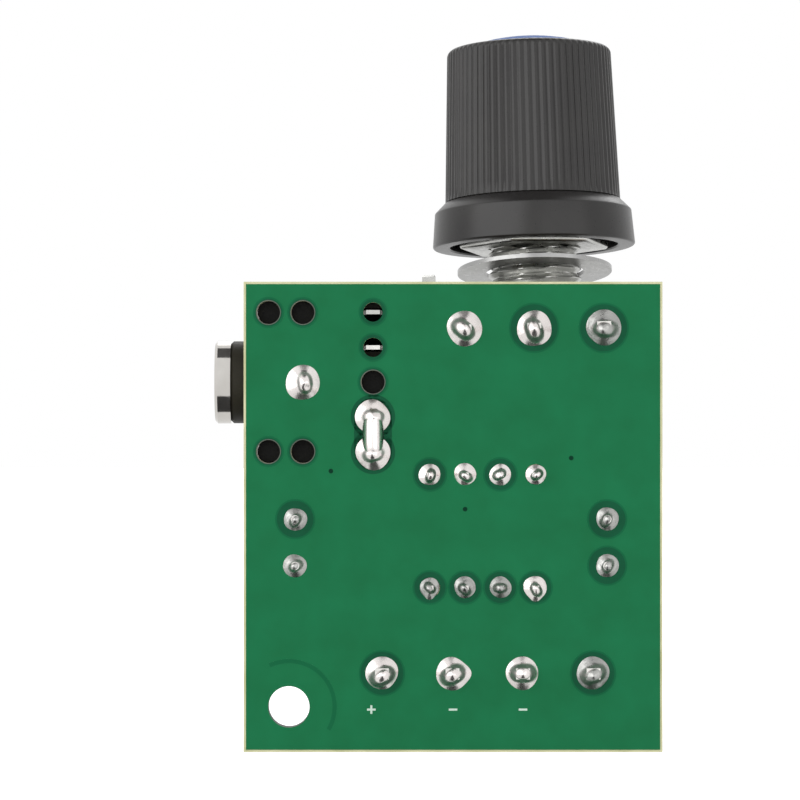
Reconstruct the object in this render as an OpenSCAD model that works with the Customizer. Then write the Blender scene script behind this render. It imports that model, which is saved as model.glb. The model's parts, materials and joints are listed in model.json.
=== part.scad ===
// Audio amplifier board with a volume knob, an audio jack and two screw terminals.
// X runs along the board's width, Z up its height towards the knob, and Y from the
// solder face into the component side. The origin is the mounting hole's centre on
// the solder face. Lengths are in millimetres and angles in degrees.

/* [Board] */
// Width of the board
board_w = 30.24; // [30:0.02:34]
// Height of the board
board_h = 33.96; // [33.6:0.02:38]
// Thickness of the board
board_t = 1.6; // [1.2:0.1:2]
// Distance of the mounting hole's centre from the left and lower edges
hole_inset = 3.27; // [2.6:0.01:3.6]
// Diameter of the mounting hole
hole_d = 3.0; // [2.2:0.1:3.4]
// Length of the leads past the solder face
lead_out = 0.9; // [0.6:0.05:1]
// Height of the large solder domes
dome_h = 1.2; // [0.8:0.05:1.4]
// Height of the small solder domes
small_dome_h = 0.95; // [0.6:0.05:1.2]

/* [Potentiometer] */
// Distance of the potentiometer's centre from the left edge
pot_from_left = 20.97; // [20:0.01:21.5]
// Distance of the pin row from the top edge
pot_row_inset = 3.33; // [2.5:0.01:4]
// Height of the shaft's axis above the component face
pot_axis_h = 11.7; // [11:0.1:13]
// Angle at which the potentiometer leans back
pot_lean = 5; // [0:0.5:7]
// Angle at which the potentiometer leans to the left
pot_side_lean = 1.4; // [0:0.1:2]
// Distance of the shaft's axis to the right of the middle pin
pot_side = 0.55; // [0:0.05:0.7]
// Distance between the pins
pot_pitch = 5.03; // [4.5:0.01:5.5]
// Width of a pin
pot_pin_w = 1.0; // [0.8:0.05:1.2]
// Thickness of the pin strip
pot_pin_t = 0.4; // [0.3:0.05:0.5]
// Diameter of the body
pot_d = 16.5; // [16:0.1:17]
// Depth of the cover can
can_depth = 7.0; // [6.5:0.1:9]
// Wall of the cover can
can_wall = 0.4; // [0.3:0.05:0.6]
// Thickness of the wafer
wafer_t = 1.0; // [0.8:0.1:1.4]
// Thickness of the front plate
plate_t = 1.0; // [0.8:0.1:1.2]
// Outer diameter of the threaded bushing
bushing_d = 7.0; // [6.8:0.05:7.2]
// Length of the threaded bushing
bushing_len = 7.0; // [6:0.1:8]
// Diameter of the shaft
shaft_d = 6.0; // [5.5:0.05:6.2]
// Length of the shaft past the front plate
shaft_len = 15.0; // [13:0.1:16]
// Length of the toothed part of the shaft
spline_len = 6.5; // [5:0.1:7]
// Distance of the locating tab's middle inside the body's edge
tab_inset = 0.3; // [0.2:0.05:1]
// Height of the locating tab over the front plate
tab_h = 3.1; // [2:0.1:3.5]
// Outer diameter of the washer
washer_d = 11.56; // [10:0.02:12.4]
// Thickness of the washer
washer_t = 0.3; // [0.25:0.05:0.7]
// Distance of the loose washer from the front plate
washer_lift = 3.35; // [2.5:0.05:3.8]
// Tilt of the loose washer on the thread
washer_tilt = 5.4; // [0:0.2:6]
// Size of the nut across its flats
nut_flats = 10.0; // [9:0.1:10.4]
// Thickness of the nut
nut_t = 2.0; // [1.5:0.1:2.2]

/* [Knob] */
// Diameter of the skirt at its rim
skirt_d = 15.15; // [14.8:0.05:16]
// Diameter of the skirt at its shoulder
shoulder_d = 14.75; // [14.2:0.05:14.8]
// Height of the skirt's straight side
skirt_h = 2.63; // [2.2:0.01:3.2]
// Height of the sloped shoulder over the skirt's side
shoulder_h = 0.8; // [0.6:0.05:1.2]
// Diameter of the fluted grip at its foot
grip_d = 13.12; // [12.8:0.01:13.6]
// Diameter of the fluted grip at its top
grip_top_d = 12.32; // [11.6:0.02:12.6]
// Overall height of the knob
knob_h = 14.96; // [14.2:0.02:17]
// Rounding of the grip's top edge
grip_round = 0.5; // [0.3:0.05:0.8]
// Number of flutes round the grip
flute_count = 70; // [48:1:80]
// Depth of a flute
flute_depth = 0.17; // [0.1:0.01:0.25]
// Diameter of the cavity inside the skirt
cavity_d = 12.6; // [12.4:0.05:13]
// Depth of the cavity inside the skirt
cavity_depth = 3.0; // [2.6:0.05:3.4]
// Diameter of the knob's cap
cap_d = 10.4; // [9:0.1:10.8]
// Depth of the cap's recess
cap_depth = 0.9; // [0.6:0.05:1.2]
// Height of the cap's dome over the grip
cap_dome = 0.9; // [0.2:0.05:1.1]

/* [Audio jack] */
// Distance of the jack's axis from the top edge
jack_from_top = 7.24; // [6.8:0.02:7.6]
// Height of the jack's axis over the component face
jack_axis_h = 3.1; // [3.05:0.05:3.4]
// Distance of the jack's body from the left edge
jack_set = 1.07; // [0.8:0.01:1.15]
// Length of the jack's body
jack_len = 11.2; // [10.8:0.1:11.3]
// Width of the jack's body
jack_w = 11.8; // [11.6:0.1:12.4]
// Height of the jack's body
jack_h = 6.0; // [5.7:0.1:6.4]
// Diameter of the moulded collar
collar_d = 6.0; // [5.6:0.05:6]
// Length of the moulded collar
collar_len = 2.11; // [1.6:0.01:2.6]
// Diameter of the metal nose ring
nose_d = 6.05; // [5.8:0.05:6.1]
// Length of the metal nose ring
nose_len = 1.15; // [0.8:0.05:1.6]
// Diameter of the socket
socket_d = 3.6; // [3.5:0.05:3.7]
// Outer diameter of the tube behind the nose ring
tube_d = 4.6; // [4.4:0.05:4.8]
// Distance of the contact tails from the jack's front face
tail_back = 8.27; // [7.8:0.01:8.5]
// Distance of the inner contact tails from the axis
inner_tail = 2.5; // [2.4:0.01:2.6]
// Distance of the outer contact tails from the axis
outer_tail = 5.05; // [4.8:0.01:5.1]
// Diameter of the locating pegs
peg_d = 1.5; // [1.2:0.02:1.6]

/* [Screw terminals] */
// Distance between the poles
pole_pitch = 5.08; // [5:0.02:5.2]
// Distance of the first pole from the left edge
pole_from_left = 9.99; // [9.6:0.01:10.2]
// Distance of the pole row from the lower edge
pole_from_bottom = 5.69; // [5.2:0.01:5.9]
// Height of a terminal housing
housing_h = 10.0; // [9.9:0.1:12]
// Depth of a terminal housing in front of the pole row
housing_front = 3.9; // [3.8:0.05:4.4]
// Depth of a terminal housing behind the pole row
housing_back = 3.7; // [3.6:0.05:4.2]
// Width of the wire window
window_w = 3.4; // [2.6:0.1:3.6]
// Diameter of a clamp screw's shank
screw_d = 2.5; // [2.4:0.05:2.6]
// Diameter of a clamp screw's head
screw_head_d = 3.5; // [3.2:0.05:3.6]
// Height of a clamp screw's head
screw_head_h = 1.1; // [0.8:0.05:1.2]
// Lift of a wire cage from open to closed
cage_lift = 1.9; // [1.5:0.05:1.9]
// Wall of a wire cage
cage_wall = 0.5; // [0.45:0.05:0.55]

/* [Chip and capacitors] */
// Distance between the chip's leads
chip_pitch = 2.54; // [2.5:0.01:2.58]
// Distance between the chip's two lead rows
chip_rows = 8.15; // [7.8:0.01:8.4]
// Length of the chip's body
chip_len = 9.4; // [9.2:0.05:9.6]
// Width of the chip's body
chip_w = 6.4; // [6.1:0.05:6.6]
// Height of the chip's body
chip_h = 3.3; // [3:0.05:3.6]
// Diameter of the supply capacitor
supply_d = 6.3; // [5:0.1:6.4]
// Height of the supply capacitor
supply_h = 11.5; // [9:0.1:14]
// Diameter of the output capacitor
output_d = 7.9; // [6.3:0.1:8]
// Height of the output capacitor
output_h = 12.0; // [9:0.1:14]
// Distance between a capacitor's leads
cap_pitch = 3.35; // [2.5:0.05:3.6]
// Diameter of a capacitor's lead
cap_lead_d = 0.6; // [0.5:0.05:0.65]

/* [Hidden] */
$fn = 48;

// Gaps: within one body, round a turning shaft, and between moving bodies
fit = 0.03;
running = 0.05;
slack = 0.15;
// Overlap that joins two shapes of one solid
join = 0.1;
// Room round a lead in its hole
hole_room = 0.4;

// Length of the short leads past the solder face
small_lead_out = small_dome_h + lead_out - dome_h;

// Edges of the board
board_left = -hole_inset;
board_bottom = -hole_inset;
board_top = board_bottom + board_h;

// Potentiometer: v runs away from the board and w along the shaft, both from the pin row
pot_x = board_left + pot_from_left;
pot_row_z = board_top - pot_row_inset;
pot_r = pot_d / 2;
pot_axis_v = board_t / 2 + pot_axis_h;
pot_hole_d = pot_pin_w + hole_room;
wafer_back = pot_pin_t / 2;
plate_back = wafer_back + wafer_t;
plate_front = plate_back + plate_t;
bushing_end = plate_front + bushing_len;
shaft_end = plate_front + shaft_len;
shaft_r = shaft_d / 2;
wafer_hole_d = shaft_d + 0.6;
wafer_low = board_t / 2 + 1.2;
strip_top = pot_axis_v - pot_r - 2 * slack;
strip_pad_w = 2.2;
rivet_d = 1.3;
rivet_h = 0.35;
lug_w = 2.0;
lug_fold = 1.4;
lug_angles = [30, 90, 150];
tab_w = 1.0;
tab_offset = pot_r - tab_inset;
tab_depth = 2.8;
spline_teeth = 18;
spline_depth = 0.3;
shaft_slot = 1.0;
plain_shaft_end = shaft_end - spline_len;
clip_t = 0.5;
clip_d = 8.0;
clip_depth = 0.55;
clip_top = wafer_back - slack;
rotor_d = 11.8;
rotor_t = 2.6;
rotor_front = clip_top - clip_t - 0.6;
wiper_d = 10.8;
wiper_hole_d = clip_d + 0.6;
wiper_t = 0.25;
wiper_finger = 0.8;
washer_hole_d = bushing_d + 0.4;
nut_base = bushing_end - nut_t;
nut_turn = 12.6;
nut_chamfer = 0.35;

// Knob, from its rim up
knob_over_nut = 0.15;
knob_rim = nut_base + knob_over_nut;
skirt_r = skirt_d / 2;
grip_foot = skirt_h + shoulder_h;
grip_len = knob_h - grip_foot - grip_round;
flute_steps = 4;
hub_d = 8.6;
hub_void_d = 10.2;
hub_cover = 3.6;
hub_void_top = knob_h - hub_cover;
spline_room = 0.5;
cap_dome_steps = 6;
pointer_w = 0.8;
pointer_depth = 0.15;

// Audio jack, on an axis along X
jack_x = board_left + jack_set;
jack_y = board_t + jack_axis_h;
jack_z = board_top - jack_from_top;
collar_x = jack_x - collar_len;
nose_x = collar_x - nose_len;
nose_chamfer = 0.2;
collar_chamfer = 0.2;
tail_x = jack_x + tail_back;
tail_w = 1.0;
tail_t = 0.3;
jack_hole_d = tail_w + hole_room;
blade_end = 0.1;
sleeve_pin_back = 3.22;
sleeve_pin_x = jack_x + sleeve_pin_back;
sleeve_pin_t = 0.5;
tube_end = sleeve_pin_x + 0.6;
plug_room = socket_d + 2 * slack;
plug_room_end = jack_x + jack_len - 0.6;
leaf_back = 4.8;
leaf_start = jack_x + leaf_back;
leaf_end = jack_x + jack_len - 0.8;
leaf_low = board_t + 1.1;
leaf_high = board_t + jack_axis_h + 1.0;
leaf_bump_d = 0.9;
leaf_bump_h = 1.2;
leaf_bump_x = tail_x - 1.6;
pocket_near = inner_tail - tail_t / 2 - slack;
pocket_far = outer_tail + tail_t / 2 + slack;
peg_hole_d = peg_d + 0.18;
peg_row = 5.02;
peg_back = 0.72;
peg_step = 2.48;
peg_end = 0.9;
pegs = [
  [jack_x + peg_back, jack_z - peg_row],
  [jack_x + peg_back, jack_z + peg_row],
  [jack_x + peg_back + peg_step, jack_z - peg_row],
  [jack_x + peg_back + peg_step, jack_z + peg_row],
  [tail_x, jack_z]
];

// Screw terminals: a runs back from the pole row along Z, h up from the component face
pole_z = board_bottom + pole_from_bottom;
pole_xs = [for (i = [0:3]) board_left + pole_from_left + i * pole_pitch];
pole_pin_w = 1.0;
pole_pin_t = 0.8;
pole_hole_d = pole_pin_w + hole_room + 0.1;
cage_w = screw_d + 2 * cage_wall + 4 * running;
cage_depth = 3.4;
cage_front = -1.7;
cage_low = 1.6;
cage_floor = 0.8;
tongue_t = 0.8;
tongue_w = cage_w - 2 * cage_wall - 2 * running - 0.1;
tongue_low = cage_low + cage_floor + cage_lift + running * 2;
tongue_high = tongue_low + tongue_t;
cage_roof = tongue_high + 2 * running;
cage_high = cage_roof + cage_floor;
strip_back = cage_front + cage_depth + 1.2;
strip_t = 0.7;
foot_low = 0.3;
foot_t = 0.7;
cavity_w = cage_w + 2 * slack;
cavity_front = cage_front - 2 * slack;
cavity_back = strip_back + running;
cavity_top = cage_high + cage_lift + running * 2;
shoulder_t = 0.5;
head_seat = cavity_top + shoulder_t + running;
screw_tip = tongue_high + running;
screw_slot_w = 0.6;
screw_slot_depth = 0.6;
housing_gap = 0.1;
housing_chamfer = 2.2;
housing_step = 1.2;

// Chip, centred between the capacitors, and the capacitors on one line with it
chip_x = 13.99;
chip_z = 12.70;
chip_lift = 0.5;
chip_draft = 0.35;
chip_lead_t = 0.3;
chip_lead_w = 0.5;
chip_shoulder_w = 1.4;
chip_hole_d = chip_lead_w + hole_room;
chip_notch_d = 1.8;
chip_notch_depth = 0.5;
chip_columns = [for (i = [0:3]) chip_x + (i - 1.5) * chip_pitch];
cap_z = 11.87;
supply_x = 0.45;
output_x = 22.97;
cap_hole_d = cap_lead_d + 0.3;
cap_sleeve_t = 0.15;
cap_lip = 0.8;
cap_round = 0.4;
cap_wall = 0.35;
cap_bung_h = 1.6;
cap_groove_at = 2.3;
cap_groove_w = 1.0;
cap_groove_depth = 0.4;
cap_vent_w = 0.25;
cap_vent_depth = 0.12;

// Surface-mounted parts on the component face
smd_len = 2.0;
smd_w = 1.25;
smd_h = 0.75;
smd_end = 0.4;
smd_end_proud = 0.03;
smd_row_up = 7.3;
smd_row_down = 5.7;
smd_row_step = 6.3;

// Diameters of the solder domes
pot_dome_d = 2.65;
pole_dome_d = 2.45;
chip_dome_d = 1.65;
cap_dome_d = 1.75;
jack_dome_d = 2.5;
bridge_w = 1.5;

// A box between two corners
module block(low, high) {
  translate(low)
    cube(high - low);
}

// Turns a shape so that its Z axis runs from the solder face to the component side
module upright(x, z, y = 0) {
  translate([x, y, z])
    rotate([-90, 0, 0])
      children();
}

// Places a shape in the potentiometer's leaning frame, from the pin row
module pot_frame() {
  translate([pot_x, board_t / 2, pot_row_z])
    rotate([-pot_lean, 0, 0])
      rotate([0, -pot_side_lean, 0])
        children();
}

// Places a shape on the potentiometer's shaft axis
module pot_axis(w = 0) {
  pot_frame()
    translate([pot_side, pot_axis_v, w])
      children();
}

// Extrudes a profile of Y and Z points along X
module along_x(x, width) {
  translate([x, 0, 0])
    rotate([90, 0, 90])
      linear_extrude(width)
        children();
}

// Turns a shape so that its Z axis runs along X on the jack's axis
module on_jack(x) {
  translate([x, jack_y, jack_z])
    rotate([0, 90, 0])
      children();
}

// A tube round Z
module tube(outer_d, inner_d, height) {
  difference() {
    cylinder(d = outer_d, h = height);
    translate([0, 0, -join])
      cylinder(d = inner_d, h = height + 2 * join);
  }
}

// A solder dome on the solder face with its barrel in the lead hole
module solder_joint(x, z, dome_d, height, bore_d) {
  sphere_r = (dome_d * dome_d / 4 + height * height) / (2 * height);
  translate([x, 0, z])
    difference() {
      translate([0, sphere_r - height, 0])
        sphere(sphere_r);
      block([-dome_d, 0, -dome_d] * 2, [dome_d, sphere_r, dome_d] * 2);
    }
  upright(x, z, -join)
    cylinder(d = bore_d - 2 * fit, h = board_t);
}

// A hole through the board
module board_hole(x, z, d) {
  upright(x, z, -join)
    cylinder(d = d, h = board_t + 2 * join);
}

module circuit_board() {
  color("seagreen")
    difference() {
      block([board_left, 0, board_bottom], [board_left + board_w, board_t, board_top]);
      board_hole(0, 0, hole_d);
      for (i = [-1:1]) board_hole(pot_x + i * pot_pitch, pot_row_z, pot_hole_d);
      for (x = pole_xs) board_hole(x, pole_z, pole_hole_d);
      for (x = chip_columns, side = [-1, 1]) board_hole(x, chip_z + side * chip_rows / 2, chip_hole_d);
      for (x = [supply_x, output_x], side = [-1, 1])
        board_hole(x, cap_z + side * cap_pitch / 2, cap_hole_d);
      for (p = pegs) board_hole(p[0], p[1], peg_hole_d);
      for (a = [-outer_tail, -inner_tail, inner_tail, outer_tail])
        board_hole(tail_x, jack_z + a, jack_hole_d);
      board_hole(sleeve_pin_x, jack_z, jack_hole_d);
    }
}

// Solder joints, each open round its lead

module solder_pot() {
  color("silver")
    difference() {
      for (i = [-1:1]) solder_joint(pot_x + i * pot_pitch, pot_row_z, pot_dome_d, dome_h, pot_hole_d);
      pot_pins(fit);
    }
}

module solder_terminals() {
  color("silver")
    difference() {
      for (x = pole_xs) solder_joint(x, pole_z, pole_dome_d, dome_h, pole_hole_d);
      for (x = pole_xs) pole_pin(x, fit);
    }
}

module solder_chip() {
  color("silver")
    difference() {
      for (x = chip_columns, side = [-1, 1])
        solder_joint(x, chip_z + side * chip_rows / 2, chip_dome_d, small_dome_h, chip_hole_d);
      chip_pins(fit);
    }
}

module solder_capacitors() {
  color("silver")
    difference() {
      for (x = [supply_x, output_x], side = [-1, 1])
        solder_joint(x, cap_z + side * cap_pitch / 2, cap_dome_d, small_dome_h, cap_hole_d);
      for (x = [supply_x, output_x]) cap_wires(x, fit);
    }
}

module solder_jack() {
  color("silver")
    difference() {
      union() {
        solder_joint(sleeve_pin_x, jack_z, jack_dome_d, dome_h, jack_hole_d);
        for (a = [inner_tail, outer_tail])
          solder_joint(tail_x, jack_z - a, jack_dome_d, dome_h, jack_hole_d);
        difference() {
          translate([tail_x, 0, jack_z - outer_tail])
            cylinder(d = bridge_w, h = outer_tail - inner_tail);
          block([tail_x - bridge_w, 0, jack_z - outer_tail - join], [tail_x + bridge_w, bridge_w, jack_z]);
        }
      }
      sleeve_pin(fit);
      for (a = [inner_tail, outer_tail]) tail_pin(jack_z - a, -small_lead_out, fit);
    }
}

// Potentiometer

// The three pins in the pin row, grown all round to cut their holes in the solder
module pot_pins(grow = 0) {
  pot_frame()
    for (i = [-1:1])
      block(
        [i * pot_pitch - pot_pin_w / 2 - grow, -board_t / 2 - lead_out - grow, -pot_pin_t / 2 - grow],
        [i * pot_pitch + pot_pin_w / 2 + grow, wafer_low + join, pot_pin_t / 2 + grow]
      );
}

// The cover's lugs, which pass the wafer and fold over the front plate
module pot_lugs(grow = 0) {
  pot_axis()
    for (a = lug_angles)
      rotate([0, 0, a]) {
        block(
          [pot_r - can_wall - grow, -lug_w / 2 - grow, wafer_back - join],
          [pot_r + grow + join, lug_w / 2 + grow, plate_front + can_wall]
        );
        block(
          [pot_r - lug_fold, -lug_w / 2, plate_front],
          [pot_r, lug_w / 2, plate_front + can_wall]
        );
      }
}

module pot_front_plate() {
  color("silver")
    difference() {
      pot_axis() {
        difference() {
          union() {
            translate([0, 0, plate_back])
              cylinder(d = pot_d, h = plate_t);
            translate([0, 0, plate_back])
              cylinder(d = bushing_d, h = plate_t + bushing_len);
          }
          translate([0, 0, plate_back - join])
            cylinder(d = shaft_d + 2 * running, h = plate_t + bushing_len + 2 * join);
        }
        block(
          [-tab_offset - tab_w / 2, -tab_depth / 2, plate_back],
          [-tab_offset + tab_w / 2, tab_depth / 2, plate_front + tab_h]
        );
      }
      pot_lugs(fit);
    }
}

module pot_wafer() {
  color("peru")
    difference() {
      union() {
        pot_axis(wafer_back)
          cylinder(d = pot_d, h = wafer_t);
        pot_frame()
          block(
            [pot_side - pot_r + slack, wafer_low, wafer_back],
            [pot_side + pot_r - slack, pot_axis_v, wafer_back + wafer_t]
          );
      }
      pot_axis(wafer_back - join)
        cylinder(d = wafer_hole_d, h = wafer_t + 2 * join);
      pot_lugs(fit);
    }
}

module pot_cover() {
  color("lightgray") {
    difference() {
      intersection() {
        union() {
          pot_axis(wafer_back - can_depth - join)
            cylinder(d = pot_d + 4 * join, h = can_depth + join);
          pot_lugs();
        }
        pot_axis(wafer_back - can_depth)
          cylinder(d = pot_d, h = can_depth + plate_front + can_wall - wafer_back + join);
      }
      pot_axis(wafer_back - can_depth + can_wall)
        cylinder(d = pot_d - 2 * can_wall, h = can_depth - can_wall);
    }
  }
}

module pot_terminals() {
  color("silver") {
    pot_pins();
    pot_frame()
      for (i = [-1:1]) {
        block(
          [i * pot_pitch - strip_pad_w / 2, wafer_low, -pot_pin_t / 2],
          [i * pot_pitch + strip_pad_w / 2, strip_top, pot_pin_t / 2]
        );
        translate([i * pot_pitch, (wafer_low + strip_top) / 2, -pot_pin_t / 2 - rivet_h])
          cylinder(d = rivet_d, h = rivet_h + join);
      }
  }
}

// Outline of the toothed shaft end
module spline(grow = 0) {
  polygon([
    for (i = [0:2 * spline_teeth - 1])
      let (r = shaft_r - running + grow - (i % 2) * spline_depth, a = i * 180 / spline_teeth)
        [r * cos(a), r * sin(a)]
  ]);
}

module pot_shaft() {
  color("gainsboro")
    pot_axis()
      difference() {
        union() {
          translate([0, 0, rotor_front - rotor_t])
            cylinder(d = shaft_d, h = plain_shaft_end - rotor_front + rotor_t);
          translate([0, 0, plain_shaft_end - join])
            linear_extrude(spline_len + join)
              spline();
        }
        translate([0, 0, clip_top - clip_t - fit])
          tube(shaft_d + join, shaft_d - 2 * clip_depth, clip_t + 2 * fit);
        block(
          [-shaft_slot / 2, -shaft_d, plain_shaft_end],
          [shaft_slot / 2, shaft_d, shaft_end + join]
        );
      }
}

module pot_shaft_clip() {
  color("silver")
    pot_axis(clip_top - clip_t)
      difference() {
        tube(clip_d, shaft_d - 2 * clip_depth + 2 * fit, clip_t);
        block([-shaft_r + clip_depth, 0, -join], [shaft_r - clip_depth, clip_d, clip_t + join]);
      }
}

module pot_rotor() {
  color("ivory")
    pot_axis(rotor_front - rotor_t)
      tube(rotor_d, shaft_d + 2 * fit, rotor_t);
}

module pot_wiper() {
  color("goldenrod")
    pot_axis(rotor_front) {
      tube(wiper_d, wiper_hole_d, wiper_t);
      for (a = [80, 90, 100])
        rotate([0, 0, a])
          block(
            [wiper_hole_d / 2 + fit, -wiper_finger / 4, 0],
            [wiper_d / 2 - fit, wiper_finger / 4, wafer_back - slack - rotor_front]
          );
    }
}

module pot_washer() {
  color("darkgray")
    pot_axis(plate_front + washer_lift)
      rotate([-washer_tilt, 0, 0])
        translate([0, 0, -washer_t / 2])
          tube(washer_d, washer_hole_d, washer_t);
}

module pot_nut() {
  corner_r = nut_flats / 2 / cos(30);
  color("silver")
    pot_axis(nut_base)
      rotate([0, 0, nut_turn])
        difference() {
          intersection() {
            cylinder(r = corner_r, h = nut_t, $fn = 6);
            rotate_extrude()
              polygon([
                [0, 0],
                [corner_r - 2 * nut_chamfer, 0],
                [corner_r + join, nut_chamfer],
                [corner_r + join, nut_t - nut_chamfer],
                [corner_r - 2 * nut_chamfer, nut_t],
                [0, nut_t]
              ]);
          }
          translate([0, 0, -join])
            cylinder(d = bushing_d + 2 * fit, h = nut_t + 2 * join);
        }
}

// Knob

// Outline of the grip's foot, with shallow flutes
module flute_outline() {
  polygon([
    for (i = [0:flute_count * flute_steps - 1])
      let (
        a = i * 360 / flute_count / flute_steps,
        r = grip_d / 2 - flute_depth * (1 - cos(i * 360 / flute_steps)) / 2
      )
        [r * cos(a), r * sin(a)]
  ]);
}

module knob_body() {
  top_r = grip_top_d / 2 - flute_depth / 2;
  color("dimgray")
    pot_axis(knob_rim)
      difference() {
        union() {
          rotate_extrude()
            polygon([
              [0, 0],
              [skirt_r, 0],
              [shoulder_d / 2, skirt_h],
              [grip_d / 2 - flute_depth, grip_foot],
              [0, grip_foot]
            ]);
          translate([0, 0, grip_foot - join])
            linear_extrude(grip_len + join, scale = grip_top_d / grip_d)
              flute_outline();
          translate([0, 0, grip_foot + grip_len - join])
            cylinder(r = top_r - grip_round, h = grip_round + join);
          translate([0, 0, grip_foot + grip_len])
            rotate_extrude()
              intersection() {
                translate([top_r - grip_round, 0])
                  circle(grip_round);
                square([top_r + grip_round, grip_round]);
              }
        }
        translate([0, 0, -join])
          cylinder(d = cavity_d, h = cavity_depth + join);
        translate([0, 0, cavity_depth - join])
          tube(hub_void_d, hub_d, hub_void_top - cavity_depth + join);
        translate([0, 0, cavity_depth - join])
          cylinder(d = shaft_d + 2 * fit, h = plain_shaft_end - knob_rim - cavity_depth + slack + join);
        translate([0, 0, cavity_depth - join])
          linear_extrude(shaft_end - knob_rim + spline_room - cavity_depth + join)
            spline(fit);
        translate([0, 0, knob_h - cap_depth])
          cylinder(d = cap_d, h = cap_depth + join);
      }
}

module knob_cap() {
  cap_r = cap_d / 2 - fit;
  dome_r = (cap_r * cap_r + cap_dome * cap_dome) / (2 * cap_dome);
  dome_angle = asin(cap_r / dome_r);
  color("royalblue")
    pot_axis(knob_rim + knob_h)
      difference() {
        rotate_extrude()
          polygon(concat(
            [[0, -cap_depth], [cap_r, -cap_depth]],
            [
              for (i = [0:cap_dome_steps])
                let (a = dome_angle * (1 - i / cap_dome_steps))
                  [dome_r * sin(a), cap_dome - dome_r * (1 - cos(a))]
            ]
          ));
        block([-pointer_w / 2, cap_r / 4, -pointer_depth], [pointer_w / 2, cap_r + join, cap_dome + join]);
      }
}

// Audio jack

// The sleeve contact's pin under the tube
module sleeve_pin(grow = 0) {
  block(
    [sleeve_pin_x - sleeve_pin_t / 2 - grow, -small_lead_out - grow, jack_z - tail_w / 2 - grow],
    [sleeve_pin_x + sleeve_pin_t / 2 + grow, jack_y - tube_d / 2 - fit + grow, jack_z + tail_w / 2 + grow]
  );
}

// A contact's tail in its hole
module tail_pin(z, low, grow = 0) {
  block(
    [tail_x - tail_w / 2 - grow, low - grow, z - tail_t / 2 - grow],
    [tail_x + tail_w / 2 + grow, leaf_low + join, z + tail_t / 2 + grow]
  );
}

// A flat spring with its tail
module jack_leaf(z, low) {
  block([leaf_start, leaf_low, z - tail_t / 2], [leaf_end - fit, leaf_high, z + tail_t / 2]);
  tail_pin(z, low);
}

// A spring beside the plug, with a bump that faces the plug
module jack_contact(side, low) {
  z = jack_z + side * inner_tail;
  color("silver") {
    jack_leaf(z, low);
    upright(leaf_bump_x, z, jack_y - leaf_bump_h / 2)
      cylinder(d = leaf_bump_d, h = leaf_bump_h);
  }
}

// A fixed blade that the spring leaves when a plug goes in
module jack_switch(side, low) {
  z = jack_z + side * outer_tail;
  tip = jack_z + side * (inner_tail + tail_t / 2 + slack);
  color("silver") {
    jack_leaf(z, low);
    block([leaf_start, leaf_low, min(z, tip)], [leaf_start + tail_t, leaf_high, max(z, tip)]);
  }
}

module jack_body() {
  color("#1c1a19")
    difference() {
      union() {
        block(
          [jack_x, board_t, jack_z - jack_w / 2],
          [jack_x + jack_len, board_t + jack_h, jack_z + jack_w / 2]
        );
        on_jack(collar_x)
          rotate_extrude()
            polygon([
              [0, 0],
              [collar_d / 2 - collar_chamfer, 0],
              [collar_d / 2, collar_chamfer],
              [collar_d / 2, collar_len + join],
              [0, collar_len + join]
            ]);
        for (p = pegs)
          upright(p[0], p[1], peg_end)
            cylinder(d = peg_d, h = board_t - peg_end + join);
      }
      on_jack(collar_x - join)
        cylinder(d = tube_d + 2 * fit, h = tube_end - collar_x + join + fit);
      block(
        [tube_end, jack_y - plug_room / 2, jack_z - plug_room / 2],
        [plug_room_end, jack_y + plug_room / 2, jack_z + plug_room / 2]
      );
      for (side = [-1, 1]) {
        near = jack_z + side * pocket_near;
        far = jack_z + side * pocket_far;
        block(
          [leaf_start - slack, board_t - join, min(near, far)],
          [leaf_end, leaf_high + slack, max(near, far)]
        );
      }
      block(
        [leaf_bump_x - leaf_bump_d, jack_y - leaf_bump_d, jack_z - pocket_near - join],
        [leaf_bump_x + leaf_bump_d, jack_y + leaf_bump_d, jack_z + pocket_near + join]
      );
      sleeve_pin(fit);
    }
}

module jack_bushing() {
  color("gainsboro")
    on_jack(nose_x)
      difference() {
        union() {
          rotate_extrude()
            polygon([
              [0, 0],
              [nose_d / 2 - nose_chamfer, 0],
              [nose_d / 2, nose_chamfer],
              [nose_d / 2, nose_len],
              [0, nose_len]
            ]);
          cylinder(d = tube_d, h = tube_end - nose_x);
        }
        translate([0, 0, -join])
          cylinder(d = socket_d, h = tube_end - nose_x + 2 * join);
      }
}

module jack_sleeve_contact() {
  color("silver")
    sleeve_pin();
}

module jack_tip_contact() {
  jack_contact(1, blade_end);
}

module jack_ring_contact() {
  jack_contact(-1, -small_lead_out);
}

module jack_tip_switch() {
  jack_switch(1, blade_end);
}

module jack_ring_switch() {
  jack_switch(-1, -small_lead_out);
}

// Amplifier chip

// The narrow ends of the chip's leads
module chip_pins(grow = 0) {
  half_w = chip_lead_w / 2 + grow;
  half_t = chip_lead_t / 2 + grow;
  for (x = chip_columns, z = [chip_z - chip_rows / 2, chip_z + chip_rows / 2])
    block(
      [x - half_w, -small_lead_out - grow, z - half_t],
      [x + half_w, board_t + chip_lift + grow, z + half_t]
    );
}

module amplifier_chip() {
  low = board_t + chip_lift;
  color("#232323")
    difference() {
      translate([0, 0, chip_z])
        along_x(chip_x - chip_len / 2, chip_len)
          polygon([
            for (side = [-1, 1], level = [0:2])
              [
                low + (side < 0 ? level : 2 - level) * chip_h / 2,
                side * (chip_w / 2 - (level == 1 ? 0 : chip_draft))
              ]
          ]);
      upright(chip_x - chip_len / 2, chip_z, low + chip_h - chip_notch_depth)
        cylinder(d = chip_notch_d, h = chip_notch_depth + join);
      upright(chip_columns[0], chip_z - chip_w / 4, low + chip_h - pointer_depth)
        cylinder(d = chip_notch_d / 2, h = pointer_depth + join);
    }
}

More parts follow.
